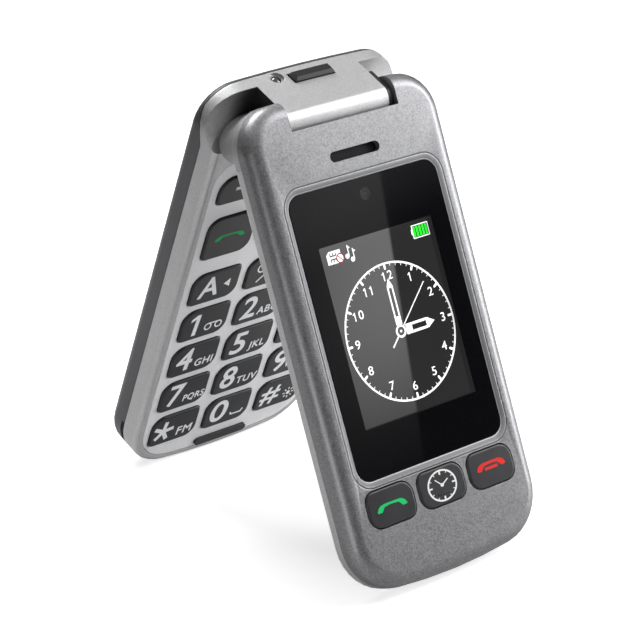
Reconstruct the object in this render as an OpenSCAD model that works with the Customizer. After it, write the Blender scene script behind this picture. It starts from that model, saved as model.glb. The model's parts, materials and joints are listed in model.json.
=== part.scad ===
// Flip phone with large keys, standing open like a tent on the free ends of its two halves.
// Each half is drawn as in the closed phone: x runs across, y runs up to the hinge axis at y = 0,
// and z rises from the keypad through the lid. on_base() and on_lid() then stand the halves up.
// A distance "down" a half is measured from the hinge axis towards its free end.

/* [Body] */
// Width of both halves
body_w = 54; // [52:0.5:58]
// Length from the hinge axis to the free ends
free_reach = 104.4; // [103:0.2:110]
// Length of body past the hinge axis
hinge_over = 3.8; // [3.6:0.1:4.2]
// Corner radius at the free ends, seen from above
free_corner_r = 12; // [10:0.5:13]
// Corner radius at the hinge end, seen from above
hinge_corner_r = 9.5; // [9:0.5:11]
// Radius of the gentle bow of the free ends
end_bow_r = 150; // [120:10:300]
// Radius of the very gentle bow of the hinge end
hinge_bow_r = 400; // [300:20:500]
// Angle between the two halves as the phone stands
open_angle = 45; // [30:1:60]
// Thickness of the moulded outer walls
wall = 1.3; // [1.2:0.05:1.4]

/* [Base] */
// Depth of the keypad face below the hinge axis
key_plane_depth = 2.7; // [2.6:0.1:2.9]
// Depth of the back face below the hinge axis
back_depth = 13.2; // [13:0.1:14.5]
// Depth of the seam between front case and battery cover
seam_depth = 7.4; // [7.2:0.1:7.6]
// Depth of the same seam on the hinge end
end_seam_depth = 10.9; // [10.8:0.1:11]
// Edge radius of the back
back_round = 2.8; // [2:0.1:3]
// Edge radius of the rails beside the keypad
rail_round = 1.5; // [1:0.1:1.7]
// Width of the seam lines
seam = 0.15; // [0.1:0.05:0.2]
// Thickness of the battery cover's back skin
cover_skin = 1.1; // [0.9:0.1:1.3]

/* [Lid] */
// Height of the lid's outer face above the hinge axis
lid_top = 5.4; // [5.3:0.1:5.8]
// Depth of the lid's inner face below the hinge axis
lid_in_depth = 1.9; // [1.7:0.1:1.9]
// Height of the line where outer shell and inner bezel meet
lid_part_z = 0.6; // [0.5:0.1:0.8]
// Height of the soft pillow edge round the outer face
pillow_h = 3.2; // [2.4:0.1:3.4]
// Width of the soft pillow edge round the outer face
pillow_w = 3.4; // [2.6:0.1:3.6]
// Thickness of the lid's outer skin
lid_skin = 1.4; // [1.2:0.1:1.5]
// Depth of the hinge notch below the axis, seen on the outer face
notch_down = 3.2; // [2.8:0.1:3.6]

/* [Hinge] */
// Width of each ear of the lid, with its gap to the knuckle
ear_w = 12.2; // [11.8:0.1:12.6]
// Radius of the knuckle's rounded top edge
knuckle_r = 4.5; // [4.2:0.1:4.6]
// Height of the knuckle's top above the hinge axis
knuckle_top = 5.2; // [5:0.1:5.3]
// Thickness of the black cap at the knuckle's right end
hinge_cap_t = 1.2; // [1:0.1:1.6]
// Radius of the round underside of the lid's ears
ear_r = 6.9; // [6.6:0.1:7]
// Space between the ears and their pockets in the base
pocket_gap = 1.6; // [1.2:0.1:1.7]
// Side gap between knuckle and ears
ear_gap = 0.3; // [0.2:0.05:0.4]
// Outer radius of the hinge's spring barrel
barrel_r = 3; // [2.8:0.05:3.1]
// Length of the hinge's spring barrel
barrel_len = 12; // [11:0.5:13]
// Radius of the hinge shaft
shaft_r = 1.6; // [1.4:0.05:1.7]
// Radial running clearance of the hinge
run_gap = 0.06; // [0.04:0.01:0.08]

/* [Keypad] */
// Gap between key columns
col_gap = 2.3; // [2.2:0.05:2.5]
// Margin from the keypad plate's sides to the keys
key_side = 2.05; // [1.9:0.05:2.4]
// Gap between key rows
row_gap = 2.1; // [1.9:0.1:3]
// Distance from the hinge axis down to the first row of small keys
first_row = 48.3; // [48:0.1:48.6]
// Distance from the free end up to the last row of keys
last_row_up = 12.1; // [12:0.1:13]
// Height of the call and end keys
call_h = 11.6; // [11:0.1:12]
// Height of the two soft keys
soft_h = 7.4; // [6.5:0.1:7.6]
// Gap between the navigation ring and the keys beside it
nav_gap = 1.35; // [1.3:0.05:1.8]
// Height of the navigation ring
nav_h = 24.6; // [23:0.2:24.8]
// Width of the OK key
ok_w = 7.4; // [6.4:0.2:8]
// Height of the OK key
ok_h = 10.4; // [9:0.2:12]
// Large corner radius of the keys
key_r_big = 3.3; // [2.4:0.1:3.6]
// Small corner radius of the keys
key_r_small = 1.4; // [1:0.1:2]
// Gap round each key
key_gap = 0.22; // [0.15:0.01:0.3]
// Height of the keys above the keypad plate
key_proud = 0.5; // [0.35:0.05:0.5]
// Travel of each key
key_travel = 0.35; // [0.25:0.05:0.35]
// Thickness of the keypad plate
plate_t = 0.9; // [0.8:0.05:1]
// Margin of the keypad plate from the body's edge
plate_margin = 2.4; // [2.2:0.1:2.6]
// Distance from the hinge axis down to the keypad plate
plate_top_down = 11.8; // [11.4:0.1:12.4]

/* [Outer face] */
// Margin from the lid's sides to the black window
win_side = 6; // [5.8:0.1:7]
// Distance from the hinge axis down to the window
win_top = 16.4; // [16:0.1:17]
// Distance from the free end up to the window
win_up = 25; // [24.8:0.1:26]
// Corner radius of the window
win_r = 3.4; // [2.5:0.1:4.5]
// Thickness of both windows
win_t = 0.9; // [0.8:0.05:1]
// Width of the bevel round the window
bevel_w = 0.9; // [0.6:0.1:1.1]
// Gap between the outer keys
out_key_gap = 1.45; // [1.2:0.05:2]
// Height of an outer key
out_key_h = 8.3; // [7.6:0.1:8.8]
// How far the row of outer keys is wider than the window
out_key_over = 0.5; // [0:0.1:0.8]
// Distance from the free end up to the outer keys
out_key_up = 18.8; // [17.5:0.1:19]
// Length of the speaker slot
slot_w = 14; // [12:0.2:16]
// Width of the speaker slot
slot_h = 2.3; // [1.8:0.1:2.6]
// Distance from the hinge axis down to the speaker slot
slot_down = 10.7; // [10.4:0.1:11.2]
// Distance from the hinge axis down to the camera
camera_down = 20; // [19.8:0.1:20.8]

/* [Inside] */
// Thickness of the main circuit board
board_t = 0.8; // [0.6:0.1:1]
// Width of the battery
battery_w = 35; // [32:0.5:38]
// Distance from the hinge axis down to the battery
battery_top = 34; // [33.5:0.5:36]
// Distance from the free end up to the battery
battery_up = 16.4; // [16:0.2:20]
// Margin from the window's sides to the outer display module
disp_side = 3; // [2:0.25:4]
// Distance from the camera down to the outer display module
disp_drop = 5.9; // [5:0.1:7]
// Margin from the window's lower edge to the outer display module
disp_up = 7.5; // [6:0.25:9]
// Margin from the lid's sides to the inner display module
in_disp_side = 6; // [5.5:0.25:7]
// Distance from the hinge axis down to the inner window
in_win_top = 24; // [22:0.5:26]
// Distance from the free end up to the inner window
in_win_up = 12.4; // [12:0.2:16]
// Width of the torch button
torch_w = 11.2; // [10:0.2:12]
// Height of the torch button
torch_h = 3.1; // [2.6:0.1:3.2]
// Radius of the torch lens
torch_r = 1.2; // [1:0.05:1.3]
// Radius of the screws' threads
screw_r = 0.8; // [0.7:0.05:0.9]

/* [Hidden] */
$fn = 48;

// Reach of cuts that run out of the part, and how far a cut or a joined solid laps over
big = 400;
over = 1;
fine = 0.01;

// Gaps: between faces that lie on each other, round pieces laid in a bed, round a screw's thread
lie_gap = 0.05;
loose_gap = 0.1;
thread_gap = 0.02;

// Colours, as the photograph shows them
silver = [0.72, 0.72, 0.73];
shell_grey = [0.52, 0.52, 0.53];
cover_grey = [0.30, 0.30, 0.31];
key_black = [0.17, 0.17, 0.18];
glass_black = [0.05, 0.05, 0.06];
black = [0.08, 0.08, 0.08];
steel = [0.65, 0.66, 0.68];
board_green = [0.10, 0.32, 0.18];

// Keypad and outer face, fitted to the body's size
key_w = (body_w - 2 * (plate_margin + key_side + col_gap)) / 3;
col_pitch = key_w + col_gap;
nav_w = 2 * (col_pitch - nav_gap) - key_w;
row_pitch = (free_reach - last_row_up - first_row) / 4;
key_h = row_pitch - row_gap;
win_w = body_w - 2 * win_side;
win_h = free_reach - win_up - win_top;
win_down = win_top + win_h / 2;
out_key_w = (win_w + out_key_over - 2 * out_key_gap) / 3;
out_key_pitch = out_key_w + out_key_gap;
out_key_down = free_reach - out_key_up;
disp_w = win_w - 2 * disp_side;
in_disp_w = body_w - 2 * in_disp_side;
battery_l = free_reach - battery_up - battery_top;
knuckle_w = body_w - 2 * ear_w;
disp_top = camera_down + disp_drop;
disp_h = win_top + win_h - disp_up - disp_top;
disp_down = disp_top + disp_h / 2;
in_win_h = free_reach - in_win_top - in_win_up;
in_down = in_win_top + in_win_h / 2;

// Heights of the main faces, from the hinge axis
key_plane = -key_plane_depth;
base_back = -back_depth;
split_z = -seam_depth;
end_split_z = -end_seam_depth;
lid_in = -lid_in_depth;

// Stack of the base, from the keypad plate down
plate_z = key_plane - plate_t;
flange_t = 0.45;
key_foot_z = plate_z - lie_gap - flange_t;
mat_t = 0.5;
mat_z = key_foot_z - key_travel - mat_t;
lip_z = mat_z + mat_t + lie_gap;
nub_h = 0.35;
dome_t = 0.3;
board_top = mat_z - nub_h - dome_t;
board_z = board_top - board_t;
shield_t = 0.9;
floor_t = 0.7;
floor_top = board_z - shield_t - loose_gap;
floor_z = floor_top - floor_t;
cover_in = base_back + cover_skin;
battery_z = cover_in + loose_gap;
bulkhead = 10;
chassis_inset = wall + 2 * loose_gap;
chassis_z = cover_in + 0.15;

// Stack of the lid, from its outer face down
win_sink = 0.15;
win_z = lid_top - win_sink - win_t;
disp_t = 1.75;
disp_z = win_z - disp_t - lie_gap;
lid_board_t = 0.9;
lid_board_z = disp_z - lid_board_t - loose_gap;
lid_board_top = lid_board_z + lid_board_t;
skin_z = lid_top - lid_skin;
in_win_z = lid_in + win_sink;
in_disp_gap = 0.5;
in_disp_z = in_win_z + win_t + in_disp_gap;
in_disp_t = lid_board_z - in_disp_z - loose_gap;
in_win_side = 2;
in_win_end = 5;
in_win_w = in_disp_w + 2 * in_win_side;
in_disp_h = in_win_h - 2 * in_win_end;
lid_wall = wall + 1;
lid_bulkhead = 7.4;
bezel_skin = 1.1;

// Hinge measures
pocket_r = ear_r + pocket_gap;
notch_w = knuckle_w + 2 * ear_gap;
knuckle_right = knuckle_w / 2 - hinge_cap_t;
knuckle_y = hinge_over - knuckle_r;
knuckle_z = knuckle_top - knuckle_r;
notch_gap = 0.3;
notch_r = norm([knuckle_y, knuckle_z]) + knuckle_r + notch_gap;
barrel_bore = barrel_r + lie_gap;
cap_gap = 0.02;
barrel_wall = 0.6;
ear_bore_depth = 4.2;
flex_r = 1.3;
flex_t = 0.3;
flex_gap = 0.4;

// Corner points: n + 1 points on a quarter circle that starts at angle a
function corner(x, y, r, a, n = 5) =
    [for (i = [0:n]) [x + r * cos(a + 90 * i / n), y + r * sin(a + 90 * i / n)]];

// Rounded rectangle round (x, y); r holds the radii at top left, top right, bottom right, bottom left
function rr(w, h, r, d = 0, x = 0, y = 0, n = 5) =
    let (q = [for (v = r) max(v - d, 0.1)], u = w / 2 - d, v = h / 2 - d)
    concat(corner(x - u + q[3], y - v + q[3], q[3], 180, n),
           corner(x + u - q[2], y - v + q[2], q[2], 270, n),
           corner(x + u - q[1], y + v - q[1], q[1], 0, n),
           corner(x - u + q[0], y + v - q[0], q[0], 90, n));

// One end of the body's outline, from the left side round to the right, drawn in by d
function end_pts(d, reach, r, bow, n = 8) =
    let (xc = body_w / 2 - r,
         yb = bow - reach,
         yc = yb - sqrt(pow(bow - r, 2) - xc * xc),
         tilt = asin(xc / (bow - r)))
    concat([for (i = [0:n]) let (a = 180 + (90 - tilt) * i / n)
               [(r - d) * cos(a) - xc, yc + (r - d) * sin(a)]],
           [for (i = [-1:1]) let (a = 270 + tilt * i / 2)
               [(bow - d) * cos(a), yb + (bow - d) * sin(a)]],
           [for (i = [0:n]) let (a = 270 + tilt + (90 - tilt) * i / n)
               [(r - d) * cos(a) + xc, yc + (r - d) * sin(a)]]);

// Outline of a whole half, drawn in by d
function outline(d) =
    concat(end_pts(d, free_reach, free_corner_r, end_bow_r),
           -1 * end_pts(d, hinge_over, hinge_corner_r, hinge_bow_r));

// Outline of the keypad plate, drawn in by d
plate_corner_r = 6;
function plate_outline(d) =
    let (x = body_w / 2 - plate_margin - plate_corner_r, y = -plate_top_down - plate_corner_r)
    concat(end_pts(plate_margin + d, free_reach, free_corner_r, end_bow_r),
           corner(x, y, plate_corner_r - d, 0), corner(-x, y, plate_corner_r - d, 90));

// Heights and insets of a rounded lower edge, and of a rounded upper edge
function lower_edge(z, h, w, n) =
    [for (i = [0:n]) [z + h * (1 - cos(90 * i / n)), w * (1 - sin(90 * i / n))]];
function upper_edge(z, h, w, n) =
    [for (i = [0:n]) [z + h * sin(90 * i / n), w * (1 - cos(90 * i / n))]];

base_levels = concat(lower_edge(base_back, back_round, back_round, 5),
                     upper_edge(key_plane - rail_round, rail_round, rail_round, 4));
lid_levels = concat(lower_edge(lid_in, 0.9, 0.9, 3),
                    upper_edge(lid_top - pillow_h, pillow_h, pillow_w, 7));

// Standing up: both free ends touch the floor at z = 0 and the origin lies midway between
// the front and the back of the standing phone.
function world_y(y, z, a) = y * cos(a) - z * sin(a);
function world_z(y, z, a) = y * sin(a) + z * cos(a);
function foot(levels, a) = min([for (l = levels) world_z(l[1] - free_reach, l[0], a)]);
function foot_gap(t) = foot(lid_levels, 90 - open_angle / 2 + t) - foot(base_levels, 90 + open_angle / 2 + t);
function level_tilt(lo, hi, n) =
    let (m = (lo + hi) / 2)
    n == 0 ? m : foot_gap(m) > 0 ? level_tilt(m, hi, n - 1) : level_tilt(lo, m, n - 1);
tilt = level_tilt(-10, 10, 30);
base_turn = 90 + open_angle / 2 + tilt;
lid_turn = 90 - open_angle / 2 + tilt;
stand_z = -foot(base_levels, base_turn);
front_y = min([for (l = lid_levels) world_y(l[1] - free_reach, l[0], lid_turn)]);
rear_y = max([for (l = base_levels) world_y(l[1] - free_reach, l[0], base_turn)]);
stand_y = -(front_y + rear_y) / 2;
echo(tilt = tilt, base_turn = base_turn, lid_turn = lid_turn, axis = [0, stand_y, stand_z]);

module on_base() translate([0, stand_y, stand_z]) rotate([base_turn, 0, 0]) children();
module on_lid() translate([0, stand_y, stand_z]) rotate([lid_turn, 0, 0]) children();

// Closed solid through rings of points; a ring is [height, points], the lowest first
module loft(rings) {
    n = len(rings[0][1]);
    last = (len(rings) - 1) * n;
    polyhedron(
        points = [for (ring = rings) for (p = ring[1]) [p[0], p[1], ring[0]]],
        faces = concat(
            [[for (i = [0:n - 1]) i]],
            [[for (i = [n - 1:-1:0]) last + i]],
            [for (k = [0:len(rings) - 2]) for (i = [0:n - 1])
                let (a = k * n + i, b = k * n + (i + 1) % n) [a, a + n, b + n, b]]));
}

module body_form(levels) loft([for (l = levels) [l[0], outline(l[1])]]);

// Upright plate between two heights over a flat shape
module plate(z0, z1) translate([0, 0, z0]) linear_extrude(z1 - z0) children();

// The part of a flat shape farther down than a distance from the hinge axis
module below(down) translate([-big / 2, -big - down]) square([big, big]);

// Bar along x over a flat shape drawn in y and z
module bar(x0, x1) translate([x0, 0, 0]) rotate([90, 0, 90]) linear_extrude(x1 - x0) children();

// Round bar along x on the hinge axis
module axle(r, x0, x1) translate([x0, 0, 0]) rotate([0, 90, 0]) cylinder(r = r, h = x1 - x0);

// Box between two opposite corners
module box(a, b) translate(a) cube(b - a);

// Straight slot with round ends
module slot(w, h) {
    square([w - h, h], center = true);
    for (s = [-1, 1]) translate([s * (w - h) / 2, 0]) circle(d = h);
}

// ---------- Keys of the keypad ----------
side_r = [key_r_big, key_r_small, key_r_big, key_r_small];
call_down = 33.4;
nav_down = 28.3;
soft_down = 19.7;
ok_r = 2.6;
nav_r = 6;
nav_radii = [nav_r, nav_r, nav_r, nav_r];
ok_radii = [ok_r, ok_r, ok_r, ok_r];

// Each key: its column and distance down, its size and its corner radii
function row_key(col, row) = [col * col_pitch, first_row + row * row_pitch, key_w, key_h, side_r];
soft_left = [-col_pitch, soft_down, key_w, soft_h, [4, key_r_small, key_r_small, key_r_small]];
soft_right = [col_pitch, soft_down, key_w, soft_h, [key_r_small, 4, key_r_small, key_r_small]];
call_left = [-col_pitch, call_down, key_w, call_h, side_r];
call_right = [col_pitch, call_down, key_w, call_h, side_r];
nav_outer = [0, nav_down, nav_w, nav_h, nav_radii];
ok_inner = [0, nav_down, ok_w, ok_h, ok_radii];
KEYPAD = concat([soft_left, soft_right, call_left, call_right, nav_outer],
                [for (row = [0:4]) for (col = [-1:1]) row_key(col, row)]);

function key_loop(k, d) = rr(k[2], k[3], k[4], d, k[0], -k[1]);

key_edge = 0.45;
flange_w = 0.5;
key_top = key_plane + key_proud;
lip_w = 0.7;

// A key cap with a soft upper edge, on a flange that the plate holds down
module key_cap(k) {
    plate(key_foot_z, key_foot_z + flange_t) intersection() {
        polygon(key_loop(k, -flange_w));
        polygon(plate_outline(lip_w + key_gap));
    }
    loft([[key_foot_z + flange_t - fine, key_loop(k, 0)],
          [key_top - key_edge, key_loop(k, 0)],
          [key_top - key_edge * 0.3, key_loop(k, key_edge * 0.3)],
          [key_top, key_loop(k, key_edge)]]);
}

module keypad_key(k) color(key_black) on_base() key_cap(k);

module nav_ring_key() color(key_black) on_base() difference() {
    key_cap(nav_outer);
    plate(key_foot_z - over, key_top + over) polygon(key_loop(ok_inner, -flange_w - key_gap));
}

module ok_key_cap() color(key_black) on_base() {
    plate(key_foot_z, key_foot_z + flange_t) polygon(key_loop(ok_inner, -flange_w + key_gap));
    loft([[key_foot_z + flange_t - fine, key_loop(ok_inner, 0)],
          [key_top - key_edge, key_loop(ok_inner, 0)],
          [key_top, key_loop(ok_inner, key_edge)]]);
}

// ---------- Base ----------
bumper_up = 3.85;
bumper_down = free_reach - bumper_up;
bumper_w = 15.4;
bumper_h = 2;
bumper_proud = 0.65;
way_x = -4;

// The side outline of the part of the base that belongs to the front case
shoulder_y = -9;
shoulder_end = -1;
module front_region(g)
    polygon([[-big, split_z + g], [shoulder_y, split_z + g], [shoulder_end, end_split_z + g],
                                [big, end_split_z + g], [big, big], [-big, big]]);

// Side outline of the knuckle
module knuckle_side() {
    foot_z = plate_z - over;
    translate([knuckle_y, knuckle_z]) circle(r = knuckle_r);
    translate([knuckle_y, foot_z]) square([knuckle_r, knuckle_z - foot_z]);
    translate([knuckle_y - knuckle_r, foot_z]) square([knuckle_r, knuckle_z - foot_z]);
}

// Places of the base's four screws and the lid's four screws
screw_side = 6;
screw_down = 17.5;
screw_up = 9;
lid_screw_side = 7;
lid_screw_down = 14;
lid_screw_up = 6.4;
function four(side, down, up, step) = [for (x = [-1, 1]) for (e = [0, 1])
    [x * (body_w / 2 - side - e * step), e == 0 ? down : free_reach - up]];
base_screw_at = four(screw_side, screw_down, screw_up, 1);
lid_screw_at = four(lid_screw_side, lid_screw_down, lid_screw_up, 2);
boss_r = 2.1;

// The port on the right side
port_down = 40;
port_w = 7.6;
port_h = 2.6;
port_z = board_z + board_t / 2;
port_depth = 6;
port_x = body_w / 2 - port_depth;
port_gap = 0.15;
port_wall = 0.35;
port_tongue = [4.4, 4.4, 0.5];
module port_room(g, x0, x1) translate([x0, -port_down - port_w / 2 - g, port_z - port_h / 2 - g])
    cube([x1 - x0, port_w + 2 * g, port_h + 2 * g]);

// The torch on the hinge end
torch_x = -8.6;
torch_z = -8.8;
torch_btn_z = -7.4;
torch_proud = 0.9;
torch_gap = 0.15;
torch_foot_y = 1.5;
torch_foot_t = 0.7;
torch_foot_w = 0.4;
torch_recess_r = torch_r + 0.6;
torch_recess_t = 0.7;
torch_room_x = [-12, 7];

module torch_bore(r, y0, y1)
    translate([torch_x, y1, torch_z]) rotate([90, 0, 0]) cylinder(r = r, h = y1 - y0);

module base_front_case() color(silver) on_base() difference() {
    union() {
        intersection() {
            body_form(base_levels);
            bar(-big, big) front_region(0);
        }
        intersection() {
            bar(-knuckle_w / 2, knuckle_right) knuckle_side();
            plate(-big, big) polygon(outline(0));
        }
    }
    // room for the keypad plate, and the opening under it
    plate(plate_z, big) polygon(plate_outline(-seam));
    plate(split_z - over, plate_z + over) polygon(plate_outline(lip_w));
    // hollow inside, with four screw bosses
    difference() {
        plate(-big, lip_z) intersection() {
            polygon(outline(wall));
            below(bulkhead);
        }
        for (p = base_screw_at) translate([p[0], -p[1], board_top + lie_gap]) cylinder(r = boss_r, h = big);
    }
    for (p = base_screw_at) translate([p[0], -p[1], board_z - over])
        cylinder(r = screw_r + thread_gap, h = 3);
    // pockets for the lid's ears
    axle(pocket_r, -big, -knuckle_w / 2);
    axle(pocket_r, knuckle_right, big);
    // bore for the hinge, and the way from it to the board
    axle(barrel_bore, -big, big);
    box([way_x, -bulkhead - over, split_z - over], [0, -over, plate_z - 0.3]);
    box([way_x, -barrel_r + 0.4, plate_z - over], [0, -0.4, -over]);
    // torch lamp and torch button
    box([torch_room_x[0], -bulkhead - over, end_split_z - over],
        [torch_room_x[1], torch_foot_y + loose_gap, torch_btn_z + torch_h / 2 + torch_foot_w + 0.25]);
    torch_bore(torch_r + lie_gap, 0, big);
    torch_bore(torch_recess_r, hinge_over - torch_recess_t, big);
    box([-torch_w / 2 - torch_gap, 0, torch_btn_z - torch_h / 2 - torch_gap],
        [torch_w / 2 + torch_gap, big, torch_btn_z + torch_h / 2 + torch_gap]);
    port_room(port_gap, port_x, big);
}

// The bay that the battery drops into
bay_gap = 0.3;
battery_down = battery_top + battery_l / 2;
module battery_plan(g)
    translate([0, -battery_down]) square([battery_w + 2 * g, battery_l + 2 * g], center = true);

// The chassis: a floor with a rim that stands round the board's underside
rim_w = 4;
rim_radii = [6, 6, 6, 6];
rim_down = 14;
rim_up = 6;
floor_l = free_reach - rim_down - rim_up;
floor_down = rim_down + floor_l / 2;
screw_seat_z = floor_z - 1.2;
screw_head_r = 1.7;
screw_head_t = 0.95;
tongue_down = bulkhead + 2;
module base_chassis() color(black) on_base() {
    difference() {
        plate(chassis_z, board_z - loose_gap) intersection() {
            polygon(outline(chassis_inset));
            below(bulkhead + seam);
        }
        plate(floor_top, 0) polygon(rr(body_w - 2 * rim_w, floor_l, rim_radii, 0, 0, -floor_down));
        plate(base_back, floor_z) battery_plan(bay_gap);
        for (p = base_screw_at) translate([p[0], -p[1], screw_seat_z]) {
            translate([0, 0, -over]) cylinder(r = screw_r + loose_gap, h = big);
            translate([0, 0, -big]) cylinder(r = screw_head_r + bay_gap, h = big);
        }
        for (b = [sim_bed, motor_bed, antenna_bed]) bed_box(b, 0, base_back, floor_z);
        port_room(port_gap + 0.25, port_x - 0.6, big);
    }
    // the tongue under the hinge end, and its thin edge that shows there
    plate(chassis_z, end_split_z - seam / 2) difference() {
        polygon(outline(chassis_inset));
        below(tongue_down);
    }
    plate(end_split_z - 2 * seam, end_split_z - seam / 2) difference() {
        polygon(outline(seam));
        below(-shoulder_end - 0.4);
    }
}

// Beds under the chassis floor: left, right, nearest and farthest from the hinge
sim_bed = [-16, 2, 17, 31];
end_bed_up = [13.4, 4.4];
motor_bed = [-17, -7, free_reach - end_bed_up[0], free_reach - end_bed_up[1]];
antenna_bed = [-4, 15, motor_bed[2], motor_bed[3]];
bed_gap = 0.2;
module bed_box(b, g, z0, z1) box([b[0] + g, -b[3] + g, z0], [b[1] - g, -b[2] - g, z1]);

// Notch for a fingernail on the left side: nearest and farthest from the free end, and its size
nail_at = [6, 13];
nail_d = 3;
nail_h = 1.2;

module battery_cover() color(cover_grey) on_base() difference() {
    intersection() {
        body_form(base_levels);
        bar(-big, big) polygon([[-big, split_z - seam], [shoulder_y, split_z - seam],
                                [shoulder_end, end_split_z - 2.2 * seam], [big, end_split_z - 2.2 * seam],
                                [big, -big], [-big, -big]]);
    }
    plate(cover_in, 0) polygon(outline(wall + lie_gap));
    box([-big, -free_reach + nail_at[0], split_z - nail_h],
        [-body_w / 2 + nail_d, -free_reach + nail_at[1], 0]);
}

module battery() color([0.16, 0.16, 0.18]) on_base()
    plate(battery_z, floor_z - loose_gap) battery_plan(0);

module keypad_plate() color(silver) on_base() difference() {
    plate(plate_z, key_plane) polygon(plate_outline(0));
    for (k = KEYPAD) plate(plate_z - over, big) polygon(key_loop(k, -key_gap));
    plate(plate_z - over, big) translate([0, -bumper_down]) slot(bumper_w + loose_gap, bumper_h + loose_gap);
}

module closing_bumper() color(key_black) on_base()
    plate(plate_z, key_plane + bumper_proud) translate([0, -bumper_down]) slot(bumper_w, bumper_h);

mat_inset = wall + 0.35;
nub_r = 1.2;
dome_r = 2.2;
module board_plan(d) difference() {
    intersection() {
        polygon(outline(d));
        below(bulkhead + 0.5);
    }
    for (p = base_screw_at) translate([p[0], -p[1]]) circle(r = boss_r + 0.25);
    translate([port_x - 0.4, -port_down - port_w / 2 - 0.4]) square([big, port_w + 0.8]);
}

module keypad_mat() color([0.55, 0.56, 0.58]) on_base() {
    plate(mat_z, mat_z + mat_t) board_plan(mat_inset);
    for (k = KEYPAD) translate([k[0], -k[1], mat_z - nub_h]) cylinder(r = nub_r, h = nub_h);
}

// Each dome is a low disc with a smaller raised middle
module snap_domes() color(steel) on_base()
    for (k = KEYPAD) translate([k[0], -k[1], board_top]) {
        cylinder(r = dome_r, h = dome_t / 3);
        cylinder(r = dome_r * 0.7, h = dome_t - thread_gap);
    }

module main_board() color(board_green) on_base() plate(board_z, board_top) board_plan(mat_inset);

shield_w = 34;
shield_l = 24;
shield_down = 34;
sheet_t = 0.2;
module rf_shield() color(steel) on_base() translate([0, -shield_down]) difference() {
    plate(board_z - shield_t, board_z) square([shield_w, shield_l], center = true);
    plate(board_z - shield_t + sheet_t, board_z)
        square([shield_w - 2 * sheet_t, shield_l - 2 * sheet_t], center = true);
}

motor_r = 4;
motor_t = 2.7;
motor_x = (motor_bed[0] + motor_bed[1]) / 2;
motor_y = -(motor_bed[2] + motor_bed[3]) / 2;
module vibration_motor() color(steel) on_base() translate([motor_x, motor_y, floor_z - motor_t - loose_gap]) {
    cylinder(r = motor_r, h = motor_t);
    translate([0, 0, -sheet_t]) cylinder(r = motor_r / 4, h = 2 * sheet_t);
}

sim_t = 1.6;
sim_side = 0.9;
module sim_holder() color(steel) on_base() difference() {
    bed_box(sim_bed, bed_gap, floor_z - sim_t, floor_z - lie_gap);
    // the card's slot runs right through
    box([sim_bed[0] + sim_side, -big, floor_z - sim_t + 1.5 * sheet_t],
        [sim_bed[1] - sim_side, 0, floor_z - 2 * sheet_t]);
}

module usb_connector() color(steel) on_base() difference() {
    port_room(0, port_x, body_w / 2 - port_wall);
    difference() {
        port_room(-port_wall, port_x + 2 * port_wall, big);
        translate([port_x, -port_down - port_tongue[1] / 2, port_z - port_tongue[2] / 2]) cube(port_tongue);
    }
}

antenna_t = 2.4;
module antenna() color([0.75, 0.6, 0.3]) on_base()
    bed_box(antenna_bed, bed_gap, floor_z - antenna_t, floor_z - lie_gap);

// The lamp: a round head on a square foot, behind a lens with a domed face
lens_y = hinge_over - 0.9;
lens_t = 1.15;
lamp_foot_w = 2.8;
lamp_l = 1.85;
lamp_y = lens_y - lens_t - lamp_l;
module torch_led() color([0.9, 0.9, 0.8]) on_base() {
    torch_bore(torch_r - 0.2, lamp_y, lens_y - lens_t - lie_gap);
    translate([torch_x - lamp_foot_w / 2, lamp_y - 0.6, torch_z - lamp_foot_w / 2])
        cube([lamp_foot_w, 0.6 + fine, lamp_foot_w]);
}

module torch_lens() color([0.85, 0.88, 0.9]) on_base() intersection() {
    torch_bore(torch_r, lens_y - lens_t, hinge_over);
    translate([torch_x, hinge_over - 1.8, torch_z]) sphere(r = torch_r + 0.25);
}

// Torch button: a bevelled bar on a broader foot behind the end face
torch_radii = [0.4, 0.4, 0.4, 0.4];
torch_bevel = 0.6;
module torch_button() color(key_black) on_base() {
    top = hinge_over + torch_proud - torch_foot_y;
    box([-torch_w / 2 - torch_foot_w, torch_foot_y - torch_foot_t, torch_btn_z - torch_h / 2 - torch_foot_w],
        [torch_w / 2 + torch_foot_w, torch_foot_y, torch_btn_z + torch_h / 2 + torch_foot_w]);
    translate([0, torch_foot_y, torch_btn_z]) rotate([-90, 0, 0])
        loft([[-fine, rr(torch_w, torch_h, torch_radii, 0, 0, 0, 2)],
              [top - torch_bevel, rr(torch_w, torch_h, torch_radii, 0, 0, 0, 2)],
              [top, rr(torch_w, torch_h, torch_radii, torch_bevel, 0, 0, 2)]]);
}

// ---------- Hinge ----------
module hinge_cap() color(black) on_base() difference() {
    intersection() {
        bar(knuckle_right + cap_gap, knuckle_w / 2) intersection() {
            knuckle_side();
            circle(r = notch_r - 2 * notch_gap);
        }
        plate(-big, big) polygon(outline(loose_gap));
    }
    axle(shaft_r + run_gap, -big, big);
}

// The barrel holds the spring, which pushes on the shaft's cam
barrel_x = knuckle_right - barrel_len;
cam_len = 2.4;
spring_len = 4.6;
cam_x = barrel_x + spring_len;
spring_t = 0.5;
module hinge_barrel() color(steel) on_base() difference() {
    axle(barrel_r, barrel_x, knuckle_right);
    axle(barrel_r - barrel_wall, barrel_x + barrel_wall, knuckle_right - 2 * barrel_wall);
    axle(shaft_r + run_gap, barrel_x + 2, big);
}

module hinge_spring() color(steel) on_base() difference() {
    axle(barrel_r - barrel_wall - loose_gap, barrel_x + barrel_wall, cam_x - loose_gap);
    axle(barrel_r - barrel_wall - loose_gap - spring_t, barrel_x, cam_x);
}

module hinge_shaft() color(steel) on_lid() {
    axle(barrel_r - barrel_wall - run_gap, cam_x, cam_x + cam_len);
    axle(shaft_r, cam_x + cam_len - fine, notch_w / 2 + ear_bore_depth - 0.3);
}

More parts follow.
